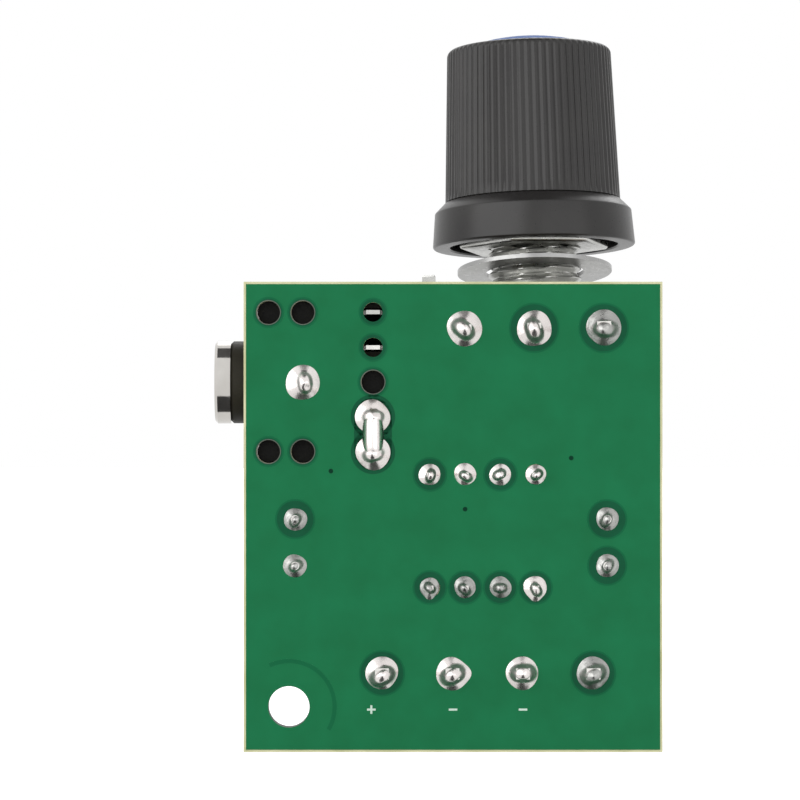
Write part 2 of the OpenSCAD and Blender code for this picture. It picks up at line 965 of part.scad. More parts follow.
module chip_leads() {
  shoulder = board_t + chip_lift + chip_h / 2;
  row = chip_rows / 2;
  color("silver") {
    chip_pins();
    for (x = chip_columns, side = [-1, 1])
      translate([0, 0, chip_z])
        along_x(x - chip_shoulder_w / 2, chip_shoulder_w)
          polygon([
            [shoulder - chip_lead_t / 2, side * chip_w / 2],
            [shoulder + chip_lead_t / 2, side * chip_w / 2],
            [shoulder + chip_lead_t / 2, side * (row + chip_lead_t / 2)],
            [board_t + chip_lift - join, side * (row + chip_lead_t / 2)],
            [board_t + chip_lift - join, side * (row - chip_lead_t / 2)],
            [shoulder - chip_lead_t / 2, side * (row - chip_lead_t / 2)]
          ]);
  }
}

// Capacitors

// Side of the can from its foot to its top, with the crimped groove, moved out by grow
function cap_side(d, h, grow) =
  let (r = d / 2 - cap_sleeve_t + grow, top = h - cap_sleeve_t)
    [
      [r, 0],
      [r, cap_groove_at - cap_groove_w / 2],
      [r - cap_groove_depth, cap_groove_at],
      [r, cap_groove_at + cap_groove_w / 2],
      [r, top - cap_round],
      [r - cap_round, top + grow]
    ];

function reversed(points) = [for (i = [len(points) - 1:-1:0]) points[i]];

module cap_can(x, d, h) {
  bung_r = d / 2 - cap_sleeve_t - cap_wall - cap_groove_depth;
  top = h - cap_sleeve_t;
  color("gainsboro")
    upright(x, cap_z, board_t)
      difference() {
        rotate_extrude()
          polygon(concat(
            [[0, top], [0, cap_bung_h], [bung_r, cap_bung_h], [bung_r, 0]],
            cap_side(d, h, 0)
          ));
        for (a = [0, 90])
          rotate([0, 0, a])
            translate([0, 0, top])
              cube([cap_vent_w, d * 2 / 3, 2 * cap_vent_depth], center = true);
      }
}

module cap_sleeve(x, d, h) {
  lip_r = d / 2 - cap_sleeve_t - cap_lip;
  top = h - cap_sleeve_t;
  color("#16223a")
    upright(x, cap_z, board_t)
      rotate_extrude()
        polygon(concat(
          cap_side(d, h, 0),
          [[lip_r, top], [lip_r, h]],
          reversed(cap_side(d, h, cap_sleeve_t))
        ));
}

module cap_bung(x, d) {
  bung_r = d / 2 - cap_sleeve_t - cap_wall - cap_groove_depth - fit;
  color("#2a2a2a")
    difference() {
      upright(x, cap_z, board_t)
        cylinder(r = bung_r, h = cap_bung_h);
      cap_wires(x, fit);
    }
}

// The two straight leads of a capacitor
module cap_wires(x, grow = 0) {
  for (side = [-1, 1])
    upright(x, cap_z + side * cap_pitch / 2, -small_lead_out)
      cylinder(d = cap_lead_d + 2 * grow, h = small_lead_out + board_t + cap_bung_h);
}

module supply_cap_can() {
  cap_can(supply_x, supply_d, supply_h);
}

module supply_cap_sleeve() {
  cap_sleeve(supply_x, supply_d, supply_h);
}

module supply_cap_bung() {
  cap_bung(supply_x, supply_d);
}

module supply_cap_leads() {
  color("silver")
    cap_wires(supply_x);
}

module output_cap_can() {
  cap_can(output_x, output_d, output_h);
}

module output_cap_sleeve() {
  cap_sleeve(output_x, output_d, output_h);
}

module output_cap_bung() {
  cap_bung(output_x, output_d);
}

module output_cap_leads() {
  color("silver")
    cap_wires(output_x);
}

// Screw terminals

// A box at a pole, from corners in X, height over the board and distance behind the pole row
module pole_block(x, low, high) {
  translate([x, board_t, pole_z])
    block(low, high);
}

module pole_pin(x, grow = 0) {
  pole_block(
    x,
    [-pole_pin_w / 2 - grow, -board_t - lead_out - grow, -pole_pin_t / 2 - grow],
    [pole_pin_w / 2 + grow, foot_low + join, pole_pin_t / 2 + grow]
  );
}

// A two-way housing over two poles
module terminal_housing(first) {
  xs = [pole_xs[first], pole_xs[first + 1]];
  color("royalblue")
    difference() {
      translate([0, board_t, pole_z])
        along_x(xs[0] - (pole_pitch - housing_gap) / 2, 2 * pole_pitch - housing_gap)
          polygon([
            [0, -housing_front],
            [housing_h - housing_chamfer, -housing_front],
            [housing_h, -housing_front + housing_step],
            [housing_h, housing_back - housing_step / 2],
            [housing_h - housing_step / 2, housing_back],
            [0, housing_back]
          ]);
      for (x = xs) {
        pole_block(x, [-cavity_w / 2, -join, cavity_front], [cavity_w / 2, cavity_top, cavity_back]);
        pole_block(
          x,
          [-window_w / 2, cage_low, -housing_front - join],
          [window_w / 2, tongue_high, cavity_front + join]
        );
        upright(x, pole_z, board_t + cavity_top - join)
          cylinder(d = screw_d + 2 * slack, h = shoulder_t + 2 * join);
        upright(x, pole_z, board_t + cavity_top + shoulder_t)
          cylinder(d = screw_head_d + 2 * slack, h = housing_h);
      }
    }
}

// Contact strips: a pin, a foot, a riser behind the cage and a tongue through it
module terminal_pins(first) {
  color("silver")
    for (x = [pole_xs[first], pole_xs[first + 1]]) {
      pole_pin(x);
      pole_block(
        x,
        [-tongue_w / 2, foot_low, -pole_pin_t / 2],
        [tongue_w / 2, foot_low + foot_t, strip_back]
      );
      pole_block(x, [-tongue_w / 2, foot_low, strip_back - strip_t], [tongue_w / 2, tongue_high, strip_back]);
      pole_block(x, [-tongue_w / 2, tongue_low, cage_front], [tongue_w / 2, tongue_high, strip_back]);
    }
}

module terminal_screw(pole) {
  x = pole_xs[pole];
  color("gainsboro")
    difference() {
      union() {
        upright(x, pole_z, board_t + screw_tip)
          cylinder(d = screw_d, h = head_seat - screw_tip + join);
        upright(x, pole_z, board_t + head_seat)
          cylinder(d = screw_head_d, h = screw_head_h);
      }
      pole_block(
        x,
        [-screw_head_d, head_seat + screw_head_h - screw_slot_depth, -screw_slot_w / 2],
        [screw_head_d, head_seat + screw_head_h + join, screw_slot_w / 2]
      );
    }
}

module wire_cage(pole) {
  x = pole_xs[pole];
  color("lightgray")
    difference() {
      pole_block(x, [-cage_w / 2, cage_low, cage_front], [cage_w / 2, cage_high, cage_front + cage_depth]);
      pole_block(
        x,
        [-cage_w / 2 + cage_wall, cage_low + cage_floor, cage_front - join],
        [cage_w / 2 - cage_wall, cage_roof, cage_front + cage_depth + join]
      );
      upright(x, pole_z, board_t + cage_roof - join)
        cylinder(d = screw_d + 2 * running, h = cage_floor + 2 * join);
    }
}

module power_terminal_housing() {
  terminal_housing(0);
}

module speaker_terminal_housing() {
  terminal_housing(2);
}

module power_terminal_pins() {
  terminal_pins(0);
}

module speaker_terminal_pins() {
  terminal_pins(2);
}

// Surface-mounted parts

module smd_chip(x, z, height) {
  block([x - smd_len / 2, board_t, z - smd_w / 2], [x + smd_len / 2, board_t + height, z + smd_w / 2]);
  for (side = [-1, 1])
    translate([x + side * (smd_len - smd_end) / 2, board_t + (height + smd_end_proud) / 2, z])
      cube([smd_end, height + smd_end_proud, smd_w + 2 * smd_end_proud], center = true);
}

module gain_capacitor() {
  color("tan")
    smd_chip(chip_x, chip_z + smd_row_up, smd_h);
}

module bypass_capacitor() {
  color("tan")
    smd_chip(chip_x + smd_row_step, chip_z + smd_row_up, smd_h);
}

module snubber_capacitor() {
  color("tan")
    smd_chip(chip_x + smd_row_step, chip_z - smd_row_down, smd_h);
}

module snubber_resistor() {
  color("#1f1f1f")
    smd_chip(chip_x + smd_row_step / 2, chip_z - smd_row_down, smd_h * 2 / 3);
}

circuit_board();
solder_pot();
solder_terminals();
solder_chip();
solder_capacitors();
solder_jack();
pot_front_plate();
pot_wafer();
pot_cover();
pot_terminals();
pot_shaft();
pot_rotor();
pot_wiper();
pot_shaft_clip();
pot_washer();
pot_nut();
knob_body();
knob_cap();
jack_body();
jack_bushing();
jack_sleeve_contact();
jack_tip_contact();
jack_ring_contact();
jack_tip_switch();
jack_ring_switch();
amplifier_chip();
chip_leads();
supply_cap_can();
supply_cap_sleeve();
supply_cap_bung();
supply_cap_leads();
output_cap_can();
output_cap_sleeve();
output_cap_bung();
output_cap_leads();
power_terminal_housing();
speaker_terminal_housing();
power_terminal_pins();
speaker_terminal_pins();
terminal_screw(0);  // terminal_screw_1
terminal_screw(1);  // terminal_screw_2
terminal_screw(2);  // terminal_screw_3
terminal_screw(3);  // terminal_screw_4
wire_cage(0);  // wire_cage_1
wire_cage(1);  // wire_cage_2
wire_cage(2);  // wire_cage_3
wire_cage(3);  // wire_cage_4
gain_capacitor();
bypass_capacitor();
snubber_capacitor();
snubber_resistor();
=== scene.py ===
"""Looks of a small audio amplifier board with a volume knob, seen from its solder side."""
import json
import math
import random

import bpy
from mathutils import Matrix, Vector


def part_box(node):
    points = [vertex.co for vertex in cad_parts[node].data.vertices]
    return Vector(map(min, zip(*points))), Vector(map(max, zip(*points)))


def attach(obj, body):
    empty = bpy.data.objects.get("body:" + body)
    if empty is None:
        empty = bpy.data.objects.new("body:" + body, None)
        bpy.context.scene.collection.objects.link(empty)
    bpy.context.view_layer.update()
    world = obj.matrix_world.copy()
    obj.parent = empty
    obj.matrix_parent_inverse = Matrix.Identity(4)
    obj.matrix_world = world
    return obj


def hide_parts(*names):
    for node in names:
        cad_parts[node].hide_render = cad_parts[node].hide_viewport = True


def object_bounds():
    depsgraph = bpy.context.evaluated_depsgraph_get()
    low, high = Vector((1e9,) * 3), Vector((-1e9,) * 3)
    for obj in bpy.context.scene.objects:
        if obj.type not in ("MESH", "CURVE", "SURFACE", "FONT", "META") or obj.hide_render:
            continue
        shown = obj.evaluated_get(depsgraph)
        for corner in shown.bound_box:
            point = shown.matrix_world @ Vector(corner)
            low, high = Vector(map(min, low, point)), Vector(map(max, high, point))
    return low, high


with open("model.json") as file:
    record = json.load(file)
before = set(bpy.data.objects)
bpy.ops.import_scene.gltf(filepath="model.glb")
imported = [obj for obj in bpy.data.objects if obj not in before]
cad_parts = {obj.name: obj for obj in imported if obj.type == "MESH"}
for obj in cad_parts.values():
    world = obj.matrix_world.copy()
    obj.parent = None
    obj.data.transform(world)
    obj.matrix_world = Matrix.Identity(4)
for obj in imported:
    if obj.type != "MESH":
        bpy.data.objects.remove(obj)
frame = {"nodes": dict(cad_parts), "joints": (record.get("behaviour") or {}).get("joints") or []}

CAD_LOW, CAD_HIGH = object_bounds()
MIDDLE = (CAD_LOW + CAD_HIGH) / 2
NODES = frame["nodes"]
JOINTS = {joint["name"]: joint for joint in frame["joints"]}
MM = 0.001

# Faces and places taken from the frame, in metres
BOARD_LOW, BOARD_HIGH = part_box("circuit_board")
SOLDER_FACE = BOARD_LOW.y
PART_FACE = BOARD_HIGH.y

# The photograph: focal length and centre of view on an image of 800 pixels
IMAGE_PX = 800
FOCAL_PX = 5000
SENSOR_MM = 36
CLIP_START = 0.01
VIEW_DISTANCE = 361 * MM
VIEW_CENTRE = (8.02 * MM, 22.15 * MM)


# Meshes

def add_mesh(name, verts, faces, body, slot, material, smooth=True):
    """A new mesh piece that rides on a body and takes the given material; the slot is not used."""
    mesh = bpy.data.meshes.new(name)
    mesh.from_pydata([tuple(v) for v in verts], [], faces)
    mesh.polygons.foreach_set("use_smooth", [smooth] * len(mesh.polygons))
    mesh.update()
    piece = bpy.data.objects.new(name, mesh)
    bpy.context.scene.collection.objects.link(piece)
    mesh.materials.append(material)
    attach(piece, body)
    return piece


def dress(material, *nodes):
    """Gives CAD nodes a better material."""
    for name in nodes:
        mesh = NODES[name].data
        mesh.materials.clear()
        mesh.materials.append(material)


def revolve(profile, steps, place, close=True):
    """Turns a profile of (radius, height) points round Z and moves it by a matrix.

    A radius may be a function of the angle.
    """
    verts = []
    faces = []
    for i in range(steps):
        angle = 2 * math.pi * i / steps
        for radius, height in profile:
            r = radius(angle) if callable(radius) else radius
            verts.append(place @ Vector((r * math.cos(angle), r * math.sin(angle), height)))
    count = len(profile)
    last = count if close else count - 1
    for i in range(steps):
        a = i * count
        b = (i + 1) % steps * count
        for j in range(last):
            k = (j + 1) % count
            faces.append((a + j, b + j, b + k, a + k))
    return verts, faces


def flat_piece(name, outlines, y_low, y_high, body, slot, material):
    """A thin plate in the board's plane from closed outlines of (x, z) points; inner ones are holes."""
    curve = bpy.data.curves.new(name, "CURVE")
    curve.dimensions = "2D"
    curve.fill_mode = "BOTH"
    curve.extrude = (y_high - y_low) / 2
    for outline in outlines:
        spline = curve.splines.new("POLY")
        spline.points.add(len(outline) - 1)
        for point, (x, z) in zip(spline.points, outline):
            point.co = (x, z, 0, 1)
        spline.use_cyclic_u = True
    sketch = bpy.data.objects.new(name + "_sketch", curve)
    bpy.context.scene.collection.objects.link(sketch)
    mesh = bpy.data.meshes.new_from_object(sketch)
    bpy.data.objects.remove(sketch)
    bpy.data.curves.remove(curve)
    turn = Matrix.Rotation(math.pi / 2, 4, "X")
    mesh.transform(Matrix.Translation((0, (y_low + y_high) / 2, 0)) @ turn)
    mesh.name = name
    piece = bpy.data.objects.new(name, mesh)
    bpy.context.scene.collection.objects.link(piece)
    mesh.materials.clear()
    mesh.materials.append(material)
    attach(piece, body)
    return piece


def circle(x, z, radius, steps=48):
    """Points of a circle in the board's plane."""
    angles = [2 * math.pi * i / steps for i in range(steps)]
    return [(x + radius * math.cos(a), z + radius * math.sin(a)) for a in angles]


def rectangle(x_low, x_high, z_low, z_high):
    """Corners of a rectangle in the board's plane."""
    return [(x_low, z_low), (x_high, z_low), (x_high, z_high), (x_low, z_high)]


# Materials

COAT_ROUGHNESS = 0.15
NOISE_LOW, NOISE_HIGH = 0.3, 0.7


def new_material(name, colour, roughness, metallic=0.0, specular=0.5, coat=0.0):
    """A principled material, with its node tree and shader."""
    material = bpy.data.materials.new(name)
    material.use_nodes = True
    shader = material.node_tree.nodes["Principled BSDF"]
    shader.inputs["Base Color"].default_value = (*colour, 1)
    shader.inputs["Roughness"].default_value = roughness
    shader.inputs["Metallic"].default_value = metallic
    shader.inputs["Specular IOR Level"].default_value = specular
    shader.inputs["Coat Weight"].default_value = coat
    shader.inputs["Coat Roughness"].default_value = COAT_ROUGHNESS
    return material


def noise(material, scale, detail):
    """A noise texture in the piece's own coordinates, per millimetre."""
    tree = material.node_tree
    place = tree.nodes.new("ShaderNodeTexCoord")
    mapping = tree.nodes.new("ShaderNodeMapping")
    mapping.inputs["Scale"].default_value = [scale / MM] * 3
    texture = tree.nodes.new("ShaderNodeTexNoise")
    texture.inputs["Scale"].default_value = 1.0
    texture.inputs["Detail"].default_value = detail
    tree.links.new(place.outputs["Object"], mapping.inputs["Vector"])
    tree.links.new(mapping.outputs["Vector"], texture.inputs["Vector"])
    return texture.outputs["Fac"]


def ramp(material, factor, low, high):
    """A value from low to high over the middle range of a noise factor."""
    tree = material.node_tree
    node = tree.nodes.new("ShaderNodeMapRange")
    node.inputs["From Min"].default_value = NOISE_LOW
    node.inputs["From Max"].default_value = NOISE_HIGH
    node.inputs["To Min"].default_value = low
    node.inputs["To Max"].default_value = high
    tree.links.new(factor, node.inputs["Value"])
    return node.outputs["Result"]


def tint(material, factor, dark, light):
    """Base colour between two colours by a noise factor."""
    tree = material.node_tree
    mix = tree.nodes.new("ShaderNodeMix")
    mix.data_type = "RGBA"
    mix.inputs["A"].default_value = (*dark, 1)
    mix.inputs["B"].default_value = (*light, 1)
    tree.links.new(ramp(material, factor, 0, 1), mix.inputs["Factor"])
    tree.links.new(mix.outputs["Result"], tree.nodes["Principled BSDF"].inputs["Base Color"])


def bump(material, factor, height_mm):
    """Surface relief from a factor, with its height in millimetres."""
    tree = material.node_tree
    node = tree.nodes.new("ShaderNodeBump")
    node.inputs["Strength"].default_value = 1.0
    node.inputs["Distance"].default_value = height_mm * MM
    tree.links.new(factor, node.inputs["Height"])
    tree.links.new(node.outputs["Normal"], tree.nodes["Principled BSDF"].inputs["Normal"])


CLOUD_GRAIN, CLOUD_DETAIL, FINE_DETAIL = 0.35, 3.0, 5.0


def finish(name, dark, light, rough, metallic=0.0, specular=0.5, coat=0.0, grain=4.0, relief=0.01):
    """A material whose colour and roughness vary between two values, with a fine relief."""
    material = new_material(name, light, sum(rough) / 2, metallic, specular, coat)
    tree = material.node_tree
    broad = noise(material, CLOUD_GRAIN, CLOUD_DETAIL)
    fine = noise(material, grain, FINE_DETAIL)
    tint(material, broad, dark, light)
    tree.links.new(ramp(material, fine, *rough), tree.nodes["Principled BSDF"].inputs["Roughness"])
    bump(material, fine, relief)
    return material


MASK = finish("solder_mask", (0.002, 0.116, 0.039), (0.003, 0.136, 0.049), (0.30, 0.42), specular=0.15,
              grain=1.2, relief=0.004)
MASK_DARK = finish("solder_mask_over_laminate", (0.002, 0.062, 0.026), (0.003, 0.078, 0.033), (0.30, 0.42),
                   specular=0.1, grain=1.2, relief=0.004)
MASK_HALF = finish("solder_mask_at_edges", (0.002, 0.092, 0.034), (0.003, 0.108, 0.042), (0.30, 0.42),
                   specular=0.1, grain=1.2, relief=0.004)
HOLE_WALL = finish("drilled_wall", (0.050, 0.064, 0.050), (0.090, 0.105, 0.085), (0.5, 0.7), grain=6.0,
                   relief=0.02)
LAMINATE = finish("glass_laminate", (0.42, 0.42, 0.22), (0.58, 0.56, 0.36), (0.5, 0.7), grain=6.0,
                  relief=0.02)
# Very dark green for the dimples over the tented vias: painted shade.
VIA_DIMPLE_SHADE = finish("via_dimple_shade", (0.002, 0.026, 0.013), (0.003, 0.034, 0.018), (0.4, 0.6), specular=0.04)
SILK = finish("silk_ink", (0.40, 0.54, 0.45), (0.54, 0.66, 0.58), (0.5, 0.7), grain=9.0, relief=0.01)
SOLDER = finish("solder", (0.76, 0.71, 0.69), (0.86, 0.81, 0.79), (0.20, 0.30), metallic=1.0, grain=1.6,
                relief=0.014)
# A darker copy of the solder for the steep flanks of the joints: painted shade.
SOLDER_FLANK_SHADE = finish("solder_flank_painted_shade", (0.44, 0.395, 0.40), (0.58, 0.525, 0.53), (0.32, 0.46), metallic=1.0,
                      grain=2.0, relief=0.02)
SOLDER_DULL = finish("solder_dull", (0.34, 0.34, 0.33), (0.50, 0.50, 0.48), (0.22, 0.40), metallic=1.0,
                     grain=3.0, relief=0.03)
TIN = finish("tin_plate", (0.60, 0.59, 0.56), (0.76, 0.75, 0.72), (0.22, 0.38), metallic=1.0, grain=3.0,
             relief=0.008)
STEEL = finish("nickel_plate", (0.42, 0.42, 0.40), (0.54, 0.54, 0.52), (0.24, 0.38), metallic=1.0, grain=3.0,
               relief=0.004)
WASHER_STEEL = finish("washer_steel", (0.33, 0.33, 0.325), (0.38, 0.38, 0.375), (0.26, 0.36), metallic=1.0,
                      grain=3.0, relief=0.001)
NICKEL = finish("polished_nickel", (0.56, 0.54, 0.51), (0.64, 0.62, 0.59), (0.06, 0.14), metallic=1.0,
                grain=2.0, relief=0.003)
ZINC = finish("zinc_plate", (0.55, 0.55, 0.53), (0.68, 0.68, 0.66), (0.25, 0.45), metallic=1.0, grain=4.0,
              relief=0.01)
ALUMINIUM = finish("aluminium", (0.66, 0.66, 0.66), (0.78, 0.78, 0.78), (0.25, 0.4), metallic=1.0, grain=3.0,
                   relief=0.006)
BRASS = finish("brass", (0.62, 0.43, 0.16), (0.78, 0.58, 0.25), (0.25, 0.4), metallic=1.0, grain=3.0,
               relief=0.006)
PHENOLIC = finish("phenolic", (0.20, 0.09, 0.035), (0.32, 0.16, 0.06), (0.45, 0.6), grain=5.0, relief=0.02)
KNOB = finish("knob_plastic", (0.014, 0.013, 0.013), (0.019, 0.018, 0.017), (0.27, 0.35), specular=0.40,
              grain=7.0, relief=0.002)
CAP_BLUE = finish("cap_plastic", (0.008, 0.060, 0.240), (0.012, 0.080, 0.300), (0.45, 0.6), specular=0.1,
                  grain=6.0, relief=0.006)
WHITE_PAINT = finish("white_paint", (0.74, 0.74, 0.72), (0.84, 0.84, 0.82), (0.4, 0.55), grain=9.0,
                     relief=0.008)
BLACK_PLASTIC = finish("black_plastic", (0.020, 0.018, 0.013), (0.028, 0.026, 0.019), (0.35, 0.55),
                       specular=0.12, grain=6.0, relief=0.012)
# Near-black for discs in the peg holes, darker than the jack's plastic: painted shade.
PEG_SHADE = finish("peg_painted_shade", (0.004, 0.004, 0.004), (0.006, 0.006, 0.006), (0.5, 0.7), specular=0.1,
                   grain=6.0, relief=0.01)
CHIP_PLASTIC = finish("chip_plastic", (0.020, 0.020, 0.021), (0.032, 0.032, 0.033), (0.55, 0.75), grain=10.0,
                      relief=0.03)
FILM = finish("capacitor_film", (0.010, 0.014, 0.036), (0.014, 0.020, 0.050), (0.2, 0.32), coat=0.3,
              grain=2.0, relief=0.008)
FILM_STRIPE = finish("capacitor_stripe", (0.52, 0.54, 0.58), (0.64, 0.66, 0.70), (0.25, 0.4), grain=2.0,
                     relief=0.008)
RUBBER = finish("rubber", (0.014, 0.014, 0.014), (0.024, 0.024, 0.024), (0.7, 0.9), grain=8.0, relief=0.03)
TERMINAL = finish("terminal_plastic", (0.010, 0.100, 0.360), (0.016, 0.130, 0.430), (0.28, 0.42), grain=5.0,
                  relief=0.01)
IVORY = finish("ivory_plastic", (0.62, 0.58, 0.46), (0.74, 0.70, 0.58), (0.4, 0.6), grain=6.0, relief=0.01)
CERAMIC = finish("ceramic", (0.36, 0.25, 0.14), (0.46, 0.34, 0.20), (0.4, 0.6), grain=9.0, relief=0.01)
GLASS_BLACK = finish("resistor_glass", (0.012, 0.012, 0.014), (0.024, 0.024, 0.026), (0.15, 0.3), grain=9.0,
                     relief=0.006)


# CAD pieces whose shape is final

dress(LAMINATE, "circuit_board")
dress(TIN, "pot_terminals", "jack_sleeve_contact", "jack_tip_contact", "jack_ring_contact", "chip_leads",
      "supply_cap_leads", "output_cap_leads", "power_terminal_pins", "speaker_terminal_pins")
dress(STEEL, "jack_tip_switch", "jack_ring_switch", "pot_cover", "pot_nut", "pot_shaft_clip",
      "pot_front_plate")
dress(WASHER_STEEL, "pot_washer")
dress(SOLDER, "solder_pot", "solder_terminals", "solder_chip", "solder_capacitors", "solder_jack")
dress(PHENOLIC, "pot_wafer")
dress(ALUMINIUM, "pot_shaft", "supply_cap_can", "output_cap_can")
dress(IVORY, "pot_rotor")
dress(BRASS, "pot_wiper")
dress(KNOB, "knob_body")
dress(CAP_BLUE, "knob_cap")
dress(BLACK_PLASTIC, "jack_body")
dress(NICKEL, "jack_bushing")
dress(CHIP_PLASTIC, "amplifier_chip")
dress(FILM, "supply_cap_sleeve", "output_cap_sleeve")
dress(RUBBER, "supply_cap_bung", "output_cap_bung")
dress(TERMINAL, "power_terminal_housing", "speaker_terminal_housing")
dress(ZINC, *[f"{kind}_{i}" for kind in ("terminal_screw", "wire_cage") for i in range(1, 5)])
dress(CERAMIC, "gain_capacitor", "bypass_capacitor", "snubber_capacitor")
dress(GLASS_BLACK, "snubber_resistor")


# Board: mask on both faces, pulled back from the bare edge

MASK_T = 0.03 * MM
PRINT_T = 0.012 * MM
RIM = 0.17 * MM


def spread(low, high, count):
    """Evenly spaced values from low to high."""
    return [low + (high - low) * i / (count - 1) for i in range(count)]


def joint_centres(node, dome_radius, columns, rows=1):
    """Centres (x, z) of a solder node's evenly spaced domes, column by column in each row from the top."""
    low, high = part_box(node)
    inset = dome_radius * MM
    xs = spread(low.x + inset, high.x - inset, columns)
    zs = spread(high.z - inset, low.z + inset, rows) if rows > 1 else [(low.z + high.z) / 2]
    return [(x, z) for z in zs for x in xs]


POT_R, POLE_R, CHIP_R, CAP_R, JACK_R = 1.325, 1.225, 0.825, 0.875, 1.25
POT_PINS = joint_centres("solder_pot", POT_R, 3)
POLE_PINS = joint_centres("solder_terminals", POLE_R, 4)
CHIP_PINS = joint_centres("solder_chip", CHIP_R, 4, 2)
CAP_PINS = joint_centres("solder_capacitors", CAP_R, 2, 2)
JACK_LOW, JACK_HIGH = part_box("solder_jack")
SLEEVE_PIN = (JACK_LOW.x + JACK_R * MM, JACK_HIGH.z - JACK_R * MM)
BRIDGE_X = JACK_HIGH.x - JACK_R * MM
JACK_Z = (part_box("jack_body")[0].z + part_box("jack_body")[1].z) / 2
INNER_TAIL = 2.5 * MM
OUTER_TAIL = 5.05 * MM
BRIDGE_PINS = [(BRIDGE_X, JACK_Z - INNER_TAIL), (BRIDGE_X, JACK_Z - OUTER_TAIL)]
BLADE_HOLES = [(BRIDGE_X, JACK_Z + INNER_TAIL), (BRIDGE_X, JACK_Z + OUTER_TAIL)]
PEG_HOLE_R = 0.84 * MM
PEG_ROW = 5.02 * MM
PEG_XS = (-1.48 * MM, 1.00 * MM)
PEG_HOLES = [(x, JACK_Z + side * PEG_ROW) for x in PEG_XS for side in (-1, 1)] + [(BRIDGE_X, JACK_Z)]
BLADE_HOLE_R = 0.7 * MM
MOUNT_HOLE_R = 1.5 * MM
HOLE_STEPS = 64
JOINT_STEPS = 32
JOINT_OPENING = 0.9


def mask_sheet(name, y_low, y_high, joints_open):
    """A mask sheet with an opening at each hole and, where joints_open, under each joint."""
    groups = ((POT_PINS, POT_R), (POLE_PINS, POLE_R), (CHIP_PINS, CHIP_R), (CAP_PINS, CAP_R))
    outlines = [rectangle(BOARD_LOW.x + RIM, BOARD_HIGH.x - RIM, BOARD_LOW.z + RIM, BOARD_HIGH.z - RIM)]
    outlines.append(circle(0, 0, MOUNT_HOLE_R, HOLE_STEPS))
    outlines += [circle(x, z, PEG_HOLE_R) for x, z in PEG_HOLES]
    outlines += [circle(x, z, BLADE_HOLE_R) for x, z in BLADE_HOLES]
    if joints_open:
        outlines += [circle(x, z, r * JOINT_OPENING * MM, JOINT_STEPS) for pins, r in groups for x, z in pins]
        outlines.append(circle(*SLEEVE_PIN, JACK_R * JOINT_OPENING * MM))
    flat_piece(name, outlines, y_low, y_high, "board", "board", MASK)


mask_sheet("mask_solder_side", SOLDER_FACE - MASK_T, SOLDER_FACE, True)
mask_sheet("mask_component_side", PART_FACE, PART_FACE + MASK_T, False)
WALL_T = 0.015 * MM
WALL_RADII = (MOUNT_HOLE_R, MOUNT_HOLE_R - WALL_T)
flat_piece("hole_wall", [circle(0, 0, radius, HOLE_STEPS) for radius in WALL_RADII],
           SOLDER_FACE - MASK_T, PART_FACE + MASK_T, "board", "board", HOLE_WALL)


# Print on the solder side: clearance rings round the joints, dark discs of painted shade in the dimples of
# the tented vias, and polarity marks

PRINT_LOW = SOLDER_FACE - MASK_T - PRINT_T
PRINT_HIGH = SOLDER_FACE - MASK_T


def solder_print(name, outlines, material):
    """Flat print on the mask of the solder side."""
    flat_piece(name, outlines, PRINT_LOW, PRINT_HIGH, "board", "board", material)


def rings(name, specs, material):
    """Printed rings from (x, z, inner radius, outer radius), with the radii in millimetres."""
    outlines = [circle(x, z, radius * MM) for x, z, inner, outer in specs for radius in (outer, inner)]
    solder_print(name, outlines, material)


# Dark rings where the copper stands back from a joint or hole, each with a softer edge
PEG_RIM, PEG_RING, BLADE_RING = 0.06, 0.16, 0.22
RING_LAP = 0.1
POT_RING, POLE_RING, CHIP_RING, CAP_RING = 1.70, 1.55, 1.13, 1.33
RINGED = [(*POT_PINS[i], POT_R - RING_LAP, POT_RING) for i in (1, 2)]
RINGED += [(*CHIP_PINS[i], CHIP_R - RING_LAP, CHIP_RING) for i in (0, 2, 4, 5, 6, 7)]
RINGED += [(*CAP_PINS[i], CAP_R - RING_LAP, CAP_RING) for i in (0, 1, 3)]
RINGED += [(*POLE_PINS[i], POLE_R - RING_LAP, POLE_RING) for i in (0, 3)]
RINGED += [(x, z, PEG_HOLE_R / MM + PEG_RIM, PEG_HOLE_R / MM + PEG_RING) for x, z in PEG_HOLES]
RINGED += [(x, z, BLADE_HOLE_R / MM, BLADE_HOLE_R / MM + BLADE_RING) for x, z in BLADE_HOLES]
SOFT_EDGE = 0.12
rings("peg_rims", [(x, z, PEG_HOLE_R / MM, PEG_HOLE_R / MM + PEG_RIM) for x, z in PEG_HOLES], HOLE_WALL)
rings("clearance_rings", RINGED, MASK_DARK)
rings("clearance_edges", [(x, z, outer, outer + SOFT_EDGE) for x, z, _, outer in RINGED], MASK_HALF)


def rounded_slot(x, z_low, z_high, radius, steps=24):
    """Outline of a slot with round ends along Z."""
    top = [(x + radius * math.cos(math.pi * i / steps), z_high + radius * math.sin(math.pi * i / steps))
           for i in range(steps + 1)]
    foot = [(x - radius * math.cos(math.pi * i / steps), z_low - radius * math.sin(math.pi * i / steps))
            for i in range(steps + 1)]
    return top + foot


BRIDGE_RING = 1.60 * MM
BRIDGE_WAIST = 1.36 * MM
solder_print("bridge_clearance", [rounded_slot(BRIDGE_X, BRIDGE_PINS[1][1], BRIDGE_PINS[0][1], BRIDGE_WAIST)],
             MASK_DARK)
for side, (x, z) in zip(("upper", "lower"), BRIDGE_PINS):
    solder_print(f"bridge_clearance_{side}", [circle(x, z, BRIDGE_RING)], MASK_DARK)

